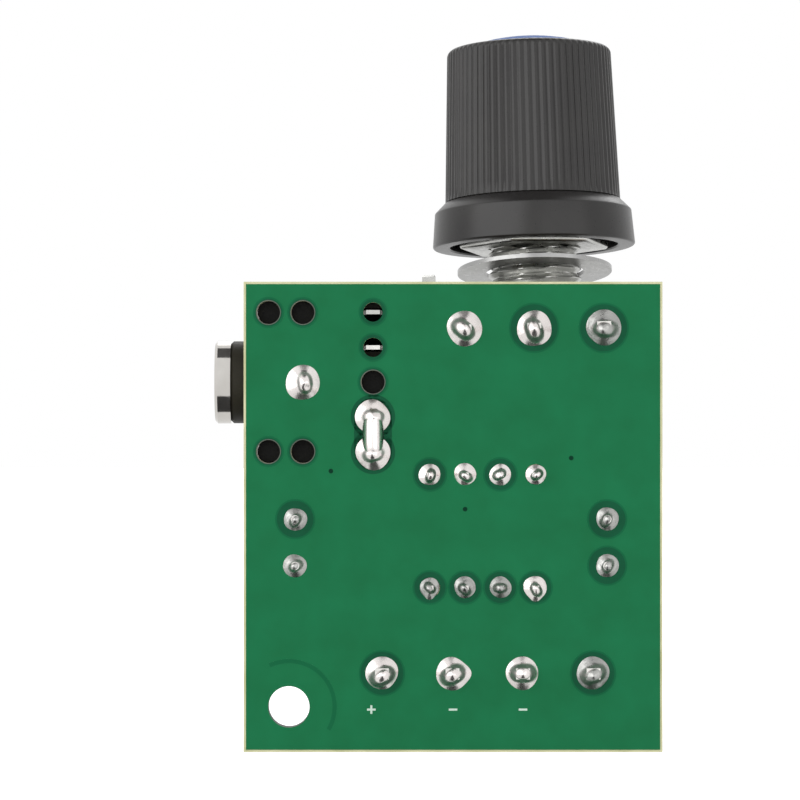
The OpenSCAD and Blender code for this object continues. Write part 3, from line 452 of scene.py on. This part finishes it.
# Near-black discs set into the peg holes in front of the pegs: painted shade in the holes.
PEG_DEPTH = 0.8 * MM
PEG_SHADE_T = 0.05 * MM
flat_piece("peg_shade_discs", [circle(x, z, PEG_HOLE_R - PEG_RIM * MM / 2) for x, z in PEG_HOLES],
           SOLDER_FACE + PEG_DEPTH, SOLDER_FACE + PEG_DEPTH + PEG_SHADE_T, "board", "jack_plastic", PEG_SHADE)

COPPER_EDGE = (3.15, 3.45)
COPPER_TURN = (-30, 115)


def arc_band(inner, outer, start, end, steps=40):
    """Outline of a band round the mounting hole, by radii in millimetres and angles in degrees."""
    angles = [math.radians(start + (end - start) * i / steps) for i in range(steps + 1)]
    out = [(outer * MM * math.cos(a), outer * MM * math.sin(a)) for a in angles]
    back = [(inner * MM * math.cos(a), inner * MM * math.sin(a)) for a in reversed(angles)]
    return out + back


solder_print("hole_copper_edge", [arc_band(*COPPER_EDGE, *COPPER_TURN)], MASK_HALF)

# Flat dark discs over the vias: painted shade in the dimples of the tented vias.
VIAS = [(3.03, 17.02), (12.72, 14.27), (20.38, 17.96)]
VIA_R, VIA_STEPS = 0.17, 20
solder_print("tented_via_shade", [circle(x * MM, z * MM, VIA_R * MM, VIA_STEPS) for x, z in VIAS], VIA_DIMPLE_SHADE)


def bar(x, z, width, height):
    """Outline of a bar by its centre and size in millimetres."""
    return rectangle((x - width / 2) * MM, (x + width / 2) * MM, (z - height / 2) * MM, (z + height / 2) * MM)


MARK_W = 0.62
MARK_T = 0.15
MARK_Z = -0.20
PLUS_X, MINUS_XS = 5.95, (11.85, 16.90)


def cross(x, z, width, thick):
    """Outline of a plus mark by its centre and size in millimetres."""
    a, b = width / 2, thick / 2
    quarter = [(b, -a), (b, -b), (a, -b)]
    corners = []
    for _ in range(4):
        corners += quarter
        quarter = [(-dz, dx) for dx, dz in quarter]
    return [((x + dx) * MM, (z + dz) * MM) for dx, dz in corners]


MARKS = [cross(PLUS_X, MARK_Z, MARK_W, MARK_T)] + [bar(x, MARK_Z, MARK_W, MARK_T) for x in MINUS_XS]
solder_print("polarity_marks", MARKS, SILK)


# Solder joints: uneven cones drawn up round the leads, each with its barrel in the board

BLOB_STEPS, BLOB_RINGS = 48, 24
BARREL_GAP = 0.1
LEAN_X, LEAN_Z = (-0.10, 0.10), (-0.14, 0.02)
LUMPS, WAVES, WAVE_FADE = 0.05, 4, 1.5
TAIL_POWER = 10
CONE_SHARE, CONE_POWER = 0.70, 1.25
NIPPLE_POWER, NIPPLE_WAVE = 6, 0.20
NIPPLE_SHIFT_X, NIPPLE_SHIFT_Z = (-0.12, 0.12), (-0.16, 0.03)
DENTS = 5
DENT_REACH, DENT_WIDTH, DENT_DEPTH = (0.30, 0.85), (0.14, 0.26), (-0.05, 0.11)

# Shapes of the joints: height, the nipple's share of the radius, and the radius of the lead's hole
POT_JOINT = (1.27, 0.50, 0.68)
POLE_JOINT = (1.26, 0.56, 0.72)
LEAD_JOINT = (0.84, 0.45, 0.42)
JACK_JOINT = (1.08, 0.45, 0.68)


def dents_in(radius, rng):
    """Small hollows and bumps in the skin of a joint, as (x, z, width, depth)."""
    dents = []
    for _ in range(DENTS):
        angle, reach = rng.uniform(0, 2 * math.pi), radius * rng.uniform(*DENT_REACH)
        dents.append((reach * math.cos(angle), reach * math.sin(angle), radius * rng.uniform(*DENT_WIDTH),
                      radius * rng.uniform(*DENT_DEPTH)))
    return dents


def joint_skin(radius, height, nipple_share, rng, tail):
    """The skin of a joint in millimetres, as a function from (angle, share of the radius) to a point."""
    cone_height = CONE_SHARE * radius
    phases = [rng.uniform(0, 2 * math.pi) for _ in range(WAVES)]
    lean_x, lean_z = rng.uniform(*LEAN_X), rng.uniform(*LEAN_Z)
    nipple_x, nipple_z = radius * rng.uniform(*NIPPLE_SHIFT_X), radius * rng.uniform(*NIPPLE_SHIFT_Z)
    dents = dents_in(radius, rng)

    def edge(angle):
        wave = sum(math.sin((k + 1) * angle + phase) / (k + WAVE_FADE) for k, phase in enumerate(phases))
        size = radius * (1 + LUMPS * wave)
        if tail:
            size += tail[1] * max(0.0, math.cos(angle - tail[0])) ** TAIL_POWER
        return size

    def dent(dx, dz):
        return sum(depth * math.exp(-((dx - x) ** 2 + (dz - z) ** 2) / width ** 2)
                   for x, z, width, depth in dents)

    def nipple(dx, dz):
        reach = math.hypot(dx - nipple_x, dz - nipple_z) / radius
        turn = math.atan2(dz - nipple_z, dx - nipple_x)
        width = nipple_share * (1 + NIPPLE_WAVE * math.sin(2 * turn + phases[-1]))
        return (height - cone_height) * math.exp(-(reach / width) ** NIPPLE_POWER)

    def point(angle, share):
        dx, dz = (edge(angle) * share * side for side in (math.cos(angle), math.sin(angle)))
        rise = (cone_height - dent(dx, dz)) * (1 - share ** CONE_POWER) + nipple(dx, dz)
        return dx + lean_x * rise, -rise, dz + lean_z * rise

    return point


def blob(x, z, radius, shape, rng, tail=None):
    """One solder joint, sized in millimetres: rings from foot to crown, and its barrel in the board.

    tail is (angle, length) of a drop that runs out of the foot.
    """
    height, nipple_share, hole_radius = shape
    skin = joint_skin(radius, height, nipple_share, rng, tail)
    angles = [2 * math.pi * i / BLOB_STEPS for i in range(BLOB_STEPS)]
    verts = [skin(angle, 1 - ring / BLOB_RINGS) for ring in range(BLOB_RINGS) for angle in angles]
    crown = len(verts)
    verts.append(skin(0, 0))
    barrel = len(verts)
    for y in (0, (PART_FACE - SOLDER_FACE) / MM - BARREL_GAP):
        verts += [(hole_radius * math.cos(a), y, hole_radius * math.sin(a)) for a in angles]
    foot = len(verts)
    verts.append((0, verts[-1][1], 0))
    faces = []
    for i in range(BLOB_STEPS):
        k = (i + 1) % BLOB_STEPS
        for ring in range(BLOB_RINGS - 1):
            a, b = ring * BLOB_STEPS, (ring + 1) * BLOB_STEPS
            faces.append((a + i, a + k, b + k, b + i))
        top = (BLOB_RINGS - 1) * BLOB_STEPS
        faces.append((top + i, top + k, crown))
        faces.append((i, barrel + i, barrel + k, k))
        faces.append((barrel + i, barrel + BLOB_STEPS + i, barrel + BLOB_STEPS + k, barrel + k))
        faces.append((barrel + BLOB_STEPS + i, foot, barrel + BLOB_STEPS + k))
    return [((x + dx) * MM, SOLDER_FACE + y * MM, (z + dz) * MM) for dx, y, dz in verts], faces


def joined(parts):
    """Several meshes as one list of vertices and faces."""
    verts, faces = [], []
    for part_verts, part_faces in parts:
        start = len(verts)
        verts += part_verts
        faces += [tuple(start + i for i in face) for face in part_faces]
    return verts, faces


# Faces steeper than this, above the foot of a joint, take the darker solder as painted shade.
STEEP = 0.66
FLANK_FOOT = 0.3 * MM


def paint_flank_shade(piece):
    """Gives the steep flanks over the foot of solder joints a darker copy of the solder, which is painted
    shade.
    """
    piece.data.materials.append(SOLDER_FLANK_SHADE)
    for face in piece.data.polygons:
        if -face.normal.y < STEEP and face.center.y < SOLDER_FACE - FLANK_FOOT:
            face.material_index = 1


def solder_group(node, centres, radius, shape, seed, special=None, dull=(), skin=SOLDER):
    """All the joints of one solder node.

    special gives a joint's own (radius, tail), and dull names the joints that cooled to a dull skin.
    """
    rng = random.Random(seed)
    bright_parts, dull_parts = [], []
    for i, (x, z) in enumerate(centres):
        size, tail = (special or {}).get(i, (radius, None))
        part = blob(x / MM, z / MM, size, shape, rng, tail)
        (dull_parts if i in dull else bright_parts).append(part)
    piece = add_mesh(node + "_joints", *joined(bright_parts), "board", "solder", skin)
    paint_flank_shade(piece)
    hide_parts(node)
    if dull_parts:
        paint_flank_shade(add_mesh(node + "_dull_joints", *joined(dull_parts), "board", "solder", SOLDER_DULL))


DOWN, RIGHT = -math.pi / 2, 0.0
DROP = 0.22
POLE_SPECIAL = {1: (POLE_R, (RIGHT, DROP))}
CHIP_SPECIAL = {3: (0.76, None), 4: (0.74, (DOWN, DROP)), 7: (0.88, (DOWN, DROP))}
solder_group("solder_pot", POT_PINS, POT_R, POT_JOINT, seed=11, dull=(2,))
solder_group("solder_terminals", POLE_PINS, POLE_R, POLE_JOINT, seed=23, special=POLE_SPECIAL, dull=(3,))
solder_group("solder_chip", CHIP_PINS, CHIP_R, LEAD_JOINT, seed=37, special=CHIP_SPECIAL, dull=(4, 5, 6))
solder_group("solder_capacitors", CAP_PINS, CAP_R, LEAD_JOINT, seed=41, skin=SOLDER_DULL)


BRIDGE_W, BRIDGE_H, BRIDGE_END = 1.55, 1.12, 0.55
BRIDGE_STEPS, BRIDGE_SPANS = 24, 32
BRIDGE_TAPER = 4
JACK_SPREAD, JACK_SEED = 1.04, 53


def bridge(x, z_low, z_high):
    """A drawn-out solder bar between two joints, with round ends."""
    verts, faces = [], []
    for j in range(BRIDGE_SPANS + 1):
        z = z_low + (z_high - z_low) * j / BRIDGE_SPANS
        waist = math.sqrt(1 - abs(2 * j / BRIDGE_SPANS - 1) ** BRIDGE_TAPER)
        for i in range(BRIDGE_STEPS + 1):
            angle = math.pi * i / BRIDGE_STEPS
            verts.append(((x + math.cos(angle) * BRIDGE_W / 2 * waist) * MM,
                          SOLDER_FACE - math.sin(angle) * BRIDGE_H * waist * MM, z * MM))
    row = BRIDGE_STEPS + 1
    for j in range(BRIDGE_SPANS):
        for i in range(BRIDGE_STEPS):
            a = j * row + i
            faces.append((a, a + 1, a + row + 1, a + row))
    return verts, faces


def jack_solder():
    """The sleeve's joint, and the two joints that a bar of solder bridges."""
    rng = random.Random(JACK_SEED)
    centres = [SLEEVE_PIN] + BRIDGE_PINS
    parts = [blob(x / MM, z / MM, JACK_R * JACK_SPREAD, JACK_JOINT, rng) for x, z in centres]
    piece = add_mesh("solder_jack_joints", *joined(parts), "board", "solder", SOLDER)
    paint_flank_shade(piece)
    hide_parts("solder_jack")
    low, high = BRIDGE_PINS[1][1] / MM - BRIDGE_END, BRIDGE_PINS[0][1] / MM + BRIDGE_END
    add_mesh("solder_jack_bridge", *bridge(BRIDGE_X / MM, low, high), "board", "solder", SOLDER)


jack_solder()


# Component side: print round the parts, capacitor stripes and metal ends

OUTLINE_GAP, OUTLINE_T, PRINT_EDGE = 0.25 * MM, 0.15 * MM, 0.1 * MM
STRIPE_SPAN, STRIPE_LIFT, STRIPE_ENDS = 40, 0.01 * MM, 0.9 * MM
END_CAP, END_LIFT = 0.42 * MM, 0.012 * MM
BACK_PRINT = (PART_FACE + MASK_T, PART_FACE + MASK_T + PRINT_T)


def on_board(outline, margin):
    """An outline, held a margin inside the board's edges."""
    low_x, high_x = BOARD_LOW.x + margin, BOARD_HIGH.x - margin
    low_z, high_z = BOARD_LOW.z + margin, BOARD_HIGH.z - margin
    return [(min(max(x, low_x), high_x), min(max(z, low_z), high_z)) for x, z in outline]


def printed_line(node, outer, inner):
    """The printed line between two outlines round a part's foot."""
    outlines = [on_board(outer, PRINT_EDGE), on_board(inner, PRINT_EDGE + OUTLINE_T)]
    flat_piece(f"{node}_print", outlines, *BACK_PRINT, "board", "board", SILK)


def silk_frame(node):
    """A printed frame round a part's foot."""
    low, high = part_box(node)
    inner = rectangle(low.x - OUTLINE_GAP, high.x + OUTLINE_GAP, low.z - OUTLINE_GAP, high.z + OUTLINE_GAP)
    reach = OUTLINE_GAP + OUTLINE_T
    outer = rectangle(low.x - reach, high.x + reach, low.z - reach, high.z + reach)
    printed_line(node, outer, inner)


def silk_ring(node):
    """A printed ring round a capacitor's foot."""
    low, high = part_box(node)
    x, z = (low.x + high.x) / 2, (low.z + high.z) / 2
    radius = (high.x - low.x) / 2 + OUTLINE_GAP
    printed_line(node, circle(x, z, radius + OUTLINE_T), circle(x, z, radius))


def film_stripe(node, facing, steps=16):
    """The pale stripe down a capacitor's film, round a facing angle in degrees."""
    low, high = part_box(node)
    x, z = (low.x + high.x) / 2, (low.z + high.z) / 2
    radius = (high.x - low.x) / 2 + STRIPE_LIFT
    verts = []
    for i in range(steps + 1):
        angle = math.radians(facing + STRIPE_SPAN * (i / steps - 0.5))
        for y in (low.y + 2 * STRIPE_ENDS, high.y - STRIPE_ENDS):
            verts.append((x + radius * math.cos(angle), y, z + radius * math.sin(angle)))
    faces = [(2 * i, 2 * i + 1, 2 * i + 3, 2 * i + 2) for i in range(steps)]
    add_mesh(f"{node}_stripe", verts, faces, "board", "cap_sleeve", FILM_STRIPE)


def end_caps(node):
    """The metal ends of a surface-mounted part."""
    low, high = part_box(node)
    spans = ((low.x - END_LIFT, low.x + END_CAP), (high.x - END_CAP, high.x + END_LIFT))
    outlines = [rectangle(a, b, low.z - END_LIFT, high.z + END_LIFT) for a, b in spans]
    flat_piece(f"{node}_ends", outlines, low.y, high.y + END_LIFT, "board", "contact", TIN)


for capacitor, facing in (("supply_cap_sleeve", 150), ("output_cap_sleeve", 60)):
    silk_ring(capacitor)
    film_stripe(capacitor, facing)
for small_part in ("gain_capacitor", "bypass_capacitor", "snubber_capacitor", "snubber_resistor"):
    end_caps(small_part)
for boxed_part in ("amplifier_chip", "power_terminal_housing", "speaker_terminal_housing"):
    silk_frame(boxed_part)


# Potentiometer: the leaning frame comes from the knob's joint

SPIN = JOINTS["knob_turn"]
LEAN = math.atan2(SPIN["axis"][1], SPIN["axis"][2])
SIDE_LEAN = math.asin(-SPIN["axis"][0])
TURN = Matrix.Rotation(-LEAN, 4, "X") @ Matrix.Rotation(-SIDE_LEAN, 4, "Y")
POT = Matrix.Translation(Vector(SPIN["pos_m"])) @ TURN @ Matrix.Scale(MM, 4)

PLATE_BACK, PLATE_FRONT = 1.2, 2.2
PLATE_RADIUS = 8.25
BUSHING_END = 9.2
BUSHING_RADIUS = 3.5
BUSHING_BORE = 3.05
THREAD_PITCH, THREAD_DEPTH = 0.75, 0.36
THREAD_STEPS, ROWS_PER_PITCH = 72, 10
THREAD_RUN_IN, THREAD_RUN_OUT, THREAD_END = 0.6, 0.3, 0.4
FLANK_SLOPE, CREST_FLAT = 1.25, 0.12
TAB_X = 7.95
TAB_SIZE = (1.0, 2.8, 3.1)
EDGE = 0.08
METAL_CREASE = math.radians(40)


def thread():
    """The bushing's thread, as rows of points up its outside."""
    rows = int((BUSHING_END - PLATE_FRONT) / THREAD_PITCH * ROWS_PER_PITCH)
    verts, faces = [], []
    for j in range(rows + 1):
        w = PLATE_FRONT + (BUSHING_END - PLATE_FRONT) * j / rows
        fade = min(1.0, (w - PLATE_FRONT) / THREAD_RUN_IN, (BUSHING_END - w) / THREAD_RUN_OUT + THREAD_END)
        for i in range(THREAD_STEPS):
            phase = (w / THREAD_PITCH - i / THREAD_STEPS) % 1.0
            flank = abs(2 * phase - 1)
            depth = THREAD_DEPTH * min(1.0, max(0.0, flank * FLANK_SLOPE - CREST_FLAT)) * fade
            angle = 2 * math.pi * i / THREAD_STEPS
            r = BUSHING_RADIUS - depth
            verts.append(POT @ Vector((r * math.cos(angle), r * math.sin(angle), w)))
    for j in range(rows):
        a, b = j * THREAD_STEPS, (j + 1) * THREAD_STEPS
        for i in range(THREAD_STEPS):
            k = (i + 1) % THREAD_STEPS
            faces.append((a + i, a + k, b + k, b + i))
    return verts, faces


def plate():
    """The bushing's end and bore, and the front plate with its edges broken."""
    profile = [(BUSHING_RADIUS - THREAD_DEPTH * THREAD_END, BUSHING_END), (BUSHING_BORE, BUSHING_END),
               (BUSHING_BORE, PLATE_BACK), (PLATE_RADIUS - EDGE, PLATE_BACK),
               (PLATE_RADIUS, PLATE_BACK + EDGE), (PLATE_RADIUS, PLATE_FRONT - EDGE),
               (PLATE_RADIUS - EDGE, PLATE_FRONT), (BUSHING_RADIUS, PLATE_FRONT)]
    return revolve(profile, THREAD_STEPS, POT, close=False)


def locating_tab():
    """The tab that stands up from the plate's left edge."""
    width, depth, height = TAB_SIZE
    corners = rectangle(-width / 2, width / 2, -depth / 2, depth / 2)
    inset = 1 - 2 * EDGE / width
    levels = ((1, PLATE_BACK), (1, PLATE_FRONT + height - 2 * EDGE), (inset, PLATE_FRONT + height))
    verts = [POT @ Vector((-TAB_X + x * share, y * share, w)) for share, w in levels for x, y in corners]
    sides = [(a + i, a + (i + 1) % 4, a + 4 + (i + 1) % 4, a + 4 + i) for a in (0, 4) for i in range(4)]
    return verts, sides + [(8, 9, 10, 11), (3, 2, 1, 0)]


def threaded_bushing():
    """The front plate with its threaded bushing and locating tab."""
    verts, faces = joined([thread(), plate(), locating_tab()])
    piece = add_mesh("pot_bushing_plate", verts, faces, "board", "pot_metal", STEEL)
    piece.data.set_sharp_from_angle(angle=METAL_CREASE)
    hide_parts("pot_front_plate")


threaded_bushing()


NUT_BASE, NUT_FLATS, NUT_BORE = 7.2, 10.0, 3.53
NUT_TURN = math.radians(12.6)
NUT_CORNER, NUT_EDGE = 0.45, 0.24
NUT_STEPS = 4


def nut_outline(inset):
    """The nut's hexagon with round corners, drawn in by an inset."""
    corner_reach = (NUT_FLATS / 2 - NUT_CORNER) / math.cos(math.pi / 6)
    points = []
    for corner in range(6):
        facing = NUT_TURN + corner * math.pi / 3
        for step in range(NUT_STEPS + 1):
            angle = facing + (step / NUT_STEPS - 0.5) * math.pi / 3
            points.append((corner_reach * math.cos(facing) + (NUT_CORNER - inset) * math.cos(angle),
                           corner_reach * math.sin(facing) + (NUT_CORNER - inset) * math.sin(angle)))
    return points


def hex_nut():
    """The nut under the knob, with its edges rounded."""
    turns = [math.atan2(y, x) for x, y in nut_outline(0)]
    bore = [(NUT_BORE * math.cos(turn), NUT_BORE * math.sin(turn)) for turn in turns]
    angles = [math.pi / 2 * step / NUT_STEPS for step in range(NUT_STEPS + 1)]
    edge = [(NUT_EDGE * (1 - math.sin(angle)), NUT_EDGE * (1 - math.cos(angle))) for angle in angles]
    levels = [(bore, NUT_BASE)] + [(nut_outline(inset), NUT_BASE + rise) for inset, rise in edge]
    levels += [(nut_outline(inset), BUSHING_END - rise) for inset, rise in reversed(edge)]
    levels.append((bore, BUSHING_END))
    verts = [POT @ Vector((x, y, w)) for outline, w in levels for x, y in outline]
    count, faces = len(bore), []
    for level in range(len(levels)):
        a, b = level * count, (level + 1) % len(levels) * count
        faces += [(a + i, a + (i + 1) % count, b + (i + 1) % count, b + i) for i in range(count)]
    piece = add_mesh("pot_hex_nut", verts, faces, "board", "pot_metal", STEEL)
    piece.data.set_sharp_from_angle(angle=METAL_CREASE)
    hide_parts("pot_nut")


hex_nut()


# Knob: fluted grip over a skirt

KNOB_RIM = 7.35
KNOB_TOP = 22.31
SKIRT_R, SHOULDER_R = 7.575, 7.375
SHOULDER_W, GRIP_W = 9.98, 10.78
GRIP_R, GRIP_TOP_R = 6.56, 6.16
CAVITY_R, CAVITY_TOP = 6.3, 10.35
HUB_R, HUB_VOID_R, HUB_VOID_TOP = 4.3, 5.1, 18.71
BORE_R, BORE_TOP = 3.03, 17.7
CAP_R_MM, CAP_FLOOR = 5.2, 21.41
AXIS_R = 0.01
RIM_ROUND, RIM_BREAK = 0.18, 0.1
SHOULDER_ROUND, SHOULDER_DROP, SHOULDER_ARC = 0.22, 0.1, (4, 48)
GROOVE_OUT, GROOVE_IN, GROOVE_DROP = 0.06, 0.10, 0.05
GRIP_ROUND, CAP_BREAK = 0.5, 0.06
FLUTES, FLUTE_DEPTH, FLUTE_POWER = 70, 0.11, 1.6
FLUTE_START, FLUTE_FIRST, FLUTE_FADE = 0.06, 0.3, 1.4
ARC_STEPS, GRIP_ROWS, ROUND_ROWS = 5, 26, 7
STEPS_PER_FLUTE, INSIDE_STEPS = 8, 96
KNOB_CREASE = math.radians(35)


def arc(cx, cz, radius, start, end):
    """Points of an arc in a profile, with angles in degrees."""
    angles = [math.radians(start + (end - start) * i / ARC_STEPS) for i in range(ARC_STEPS + 1)]
    return [(cx + radius * math.cos(a), cz + radius * math.sin(a)) for a in angles]


def fluted(radius, depth):
    """A radius that dips at each flute."""
    return lambda angle: radius - depth * (0.5 - 0.5 * math.cos(FLUTES * angle)) ** FLUTE_POWER


def grip_profile():
    """The tapered, fluted grip and its rounded top, from the skirt up."""
    foot, top = GRIP_W + FLUTE_START, KNOB_TOP - GRIP_ROUND
    profile = []
    for j in range(GRIP_ROWS + 1):
        share = j / GRIP_ROWS
        radius = GRIP_R + (GRIP_TOP_R - GRIP_R) * share
        depth = FLUTE_DEPTH * min(1.0, FLUTE_FIRST + j)
        profile.append((fluted(radius, depth), foot + (top - foot) * share))
    for j in range(1, ROUND_ROWS + 1):
        angle = math.pi / 2 * j / ROUND_ROWS
        radius = GRIP_TOP_R - GRIP_ROUND * (1 - math.cos(angle))
        depth = FLUTE_DEPTH * max(0.0, 1 - FLUTE_FADE * j / ROUND_ROWS)
        profile.append((fluted(radius, depth), top + GRIP_ROUND * math.sin(angle)))
    return profile


def knob_shell():
    """The knob's outside with its flutes, and its cavity, hub and cap recess."""
    profile = [(CAVITY_R + RIM_BREAK, KNOB_RIM)]
    profile += arc(SKIRT_R - RIM_ROUND, KNOB_RIM + RIM_ROUND, RIM_ROUND, -90, 0)
    profile += arc(SHOULDER_R - SHOULDER_ROUND, SHOULDER_W - SHOULDER_DROP, SHOULDER_ROUND, *SHOULDER_ARC)
    profile += [(GRIP_R + GROOVE_OUT, GRIP_W - GROOVE_DROP), (GRIP_R - GROOVE_IN, GRIP_W)]
    profile += grip_profile()
    profile += [(CAP_R_MM + CAP_BREAK, KNOB_TOP), (CAP_R_MM, KNOB_TOP - CAP_BREAK), (CAP_R_MM, CAP_FLOOR),
                (AXIS_R, CAP_FLOOR)]
    inner = [(AXIS_R, BORE_TOP), (BORE_R, BORE_TOP), (BORE_R, CAVITY_TOP), (HUB_R, CAVITY_TOP),
             (HUB_R, HUB_VOID_TOP), (HUB_VOID_R, HUB_VOID_TOP), (HUB_VOID_R, CAVITY_TOP),
             (CAVITY_R, CAVITY_TOP), (CAVITY_R, KNOB_RIM + RIM_BREAK), (CAVITY_R + RIM_BREAK, KNOB_RIM)]
    outside = revolve(profile, FLUTES * STEPS_PER_FLUTE, POT, close=False)
    inside = revolve(inner, INSIDE_STEPS, POT, close=False)
    piece = add_mesh("knob_shell", *joined([outside, inside]), "knob", "knob", KNOB)
    piece.data.set_sharp_from_angle(angle=KNOB_CREASE)
    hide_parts("knob_body")


knob_shell()

CAP_TOP_R, CAP_DOME = 5.17, 0.9
POINTER_W, POINTER_START, POINTER_SINK = 0.76, 1.4, 0.04
POINTER_STEPS = 20


def pointer_line():
    """The white line let into the cap's dome, away from the board."""
    dome_r = (CAP_TOP_R ** 2 + CAP_DOME ** 2) / (2 * CAP_DOME)
    verts = []
    for i in range(POINTER_STEPS + 1):
        v = POINTER_START + (CAP_TOP_R - POINTER_START) * i / POINTER_STEPS
        w = KNOB_TOP + CAP_DOME - dome_r + math.sqrt(dome_r ** 2 - v ** 2) - POINTER_SINK
        verts += [POT @ Vector((side * POINTER_W / 2, v, w)) for side in (-1, 1)]
    faces = [(2 * i, 2 * i + 1, 2 * i + 3, 2 * i + 2) for i in range(POINTER_STEPS)]
    add_mesh("pointer_line", verts, faces, "knob", "knob_cap", WHITE_PAINT)


pointer_line()


# Stage: a pale floor, a white surround, soft lamps and dark flags for the metal to show

FLOOR_SIZE, FLOOR_GREY, FLOOR_GLOW = 3.0, 0.86, 0.60
FLAG_GREY, FLAG_DISTANCE, FLAG_STEPS = 0.10, 0.4, 64
MATT = 0.9

# Brightness of the tent, which lights rough surfaces, from the front (0) to the back (1), and along its axis,
# which leans back, from its foot (0) to its top (1)
TENT_AXIS = (0, 0.42, 0.908)
DEPTH_LEVELS = ((0.0, 0.70), (0.04, 0.95), (0.16, 1.15), (0.60, 0.85))
HEIGHT_LEVELS = ((0.04, 0.10), (0.27, 1.0), (0.90, 1.0), (0.965, 0.05))


def add_floor():
    """A pale floor under the board's lower edge, which keeps the shadow."""
    bpy.ops.mesh.primitive_plane_add(size=FLOOR_SIZE, location=(0, 0, CAD_LOW.z))
    floor = bpy.context.object
    floor.name = "floor"
    material = new_material("floor", [FLOOR_GREY] * 3, MATT, specular=0.0)
    tree = material.node_tree
    shader = tree.nodes["Principled BSDF"]
    shader.inputs["Emission Color"].default_value = (1, 1, 1, 1)
    path = tree.nodes.new("ShaderNodeLightPath")
    seen = tree.nodes.new("ShaderNodeMath")
    seen.operation = "MULTIPLY"
    seen.inputs[1].default_value = FLOOR_GLOW
    tree.links.new(path.outputs["Is Camera Ray"], seen.inputs[0])
    tree.links.new(seen.outputs["Value"], shader.inputs["Emission Strength"])
    floor.data.materials.append(material)
    floor.visible_glossy = False


def add_flag(name, direction, radius):
    """A dark studio flag that only reflections show."""
    place = MIDDLE + Vector(direction) * FLAG_DISTANCE
    facing = Vector(direction).to_track_quat("Z", "Y").to_euler()
    bpy.ops.mesh.primitive_circle_add(vertices=FLAG_STEPS, radius=radius, fill_type="NGON", location=place,
                                      rotation=facing)
    flag = bpy.context.object
    flag.name = name
    flag.data.materials.append(new_material(name, [FLAG_GREY] * 3, MATT, specular=0.0))
    flag.visible_camera = False
    flag.visible_diffuse = False
    flag.visible_shadow = False


def level_ramp(tree, direction, levels):
    """Brightness along one direction of the surround, as (place, level) stops from one side to the other."""
    place = tree.nodes.new("ShaderNodeMapRange")
    place.inputs["From Min"].default_value = -1.0
    node = tree.nodes.new("ShaderNodeValToRGB")
    stops = node.color_ramp.elements
    while len(stops) < len(levels):
        stops.new(1.0)
    for stop, (position, level) in zip(stops, levels):
        stop.position = position
        stop.color = (level, level, level, 1)
    tree.links.new(direction, place.inputs["Value"])
    tree.links.new(place.outputs["Result"], node.inputs["Fac"])
    return node.outputs["Color"]


def seen_rays(tree):
    """One for rays from the camera and for those that metal and glass send on, zero for other light."""
    path = tree.nodes.new("ShaderNodeLightPath")
    seen = path.outputs["Is Camera Ray"]
    for kind in ("Is Glossy Ray", "Is Transmission Ray"):
        either = tree.nodes.new("ShaderNodeMath")
        either.operation = "MAXIMUM"
        tree.links.new(seen, either.inputs[0])
        tree.links.new(path.outputs[kind], either.inputs[1])
        seen = either.outputs["Value"]
    return seen


def add_world():
    """White to the camera, metal and glass; other light comes from a tent, dark above and below."""
    world = bpy.data.worlds.new("studio")
    bpy.context.scene.world = world
    world.use_nodes = True
    tree = world.node_tree
    background = tree.nodes["Background"]
    background.inputs["Color"].default_value = (1, 1, 1, 1)
    place = tree.nodes.new("ShaderNodeTexCoord")
    split = tree.nodes.new("ShaderNodeSeparateXYZ")
    tree.links.new(place.outputs["Generated"], split.inputs["Vector"])
    height = tree.nodes.new("ShaderNodeVectorMath")
    height.operation = "DOT_PRODUCT"
    height.inputs[1].default_value = TENT_AXIS
    tree.links.new(place.outputs["Generated"], height.inputs[0])
    level = tree.nodes.new("ShaderNodeMath")
    level.operation = "MULTIPLY"
    tree.links.new(level_ramp(tree, split.outputs["Y"], DEPTH_LEVELS), level.inputs[0])
    tree.links.new(level_ramp(tree, height.outputs["Value"], HEIGHT_LEVELS), level.inputs[1])
    pick = tree.nodes.new("ShaderNodeMix")
    pick.inputs["B"].default_value = 1.0
    tree.links.new(seen_rays(tree), pick.inputs["Factor"])
    tree.links.new(level.outputs["Value"], pick.inputs["A"])
    tree.links.new(pick.outputs["Result"], background.inputs["Strength"])


def add_lamp(name, place, size, power):
    """A square area lamp that looks at the part's middle."""
    light = bpy.data.lights.new(name, "AREA")
    light.shape = "SQUARE"
    light.size = size
    light.energy = power
    lamp = bpy.data.objects.new(name, light)
    bpy.context.scene.collection.objects.link(lamp)
    lamp.location = place
    lamp.rotation_euler = (MIDDLE - Vector(place)).to_track_quat("-Z", "Y").to_euler()


def add_camera():
    """The photograph's view, straight at the solder face."""
    data = bpy.data.cameras.new("camera")
    data.sensor_width = SENSOR_MM
    data.lens = SENSOR_MM * FOCAL_PX / IMAGE_PX
    data.clip_start = CLIP_START
    camera = bpy.data.objects.new("camera", data)
    bpy.context.scene.collection.objects.link(camera)
    camera.location = (VIEW_CENTRE[0], SOLDER_FACE - VIEW_DISTANCE, VIEW_CENTRE[1])
    camera.rotation_euler = (math.pi / 2, 0, 0)
    bpy.context.scene.camera = camera


add_floor()
add_flag("top_flag", (0, 0, 1), 0.14)
add_flag("foot_flag", (0, -0.42, -0.908), 0.20)
add_world()
add_lamp("left_lamp", (-0.36, -0.36, 0.14), 0.65, 2.1)
add_lamp("right_lamp", (0.30, -0.42, 0.03), 0.55, 0.6)
add_lamp("back_lamp", (0.10, 0.40, 0.35), 0.30, 0.5)
add_camera()
bpy.context.scene.view_settings.view_transform = "Standard"
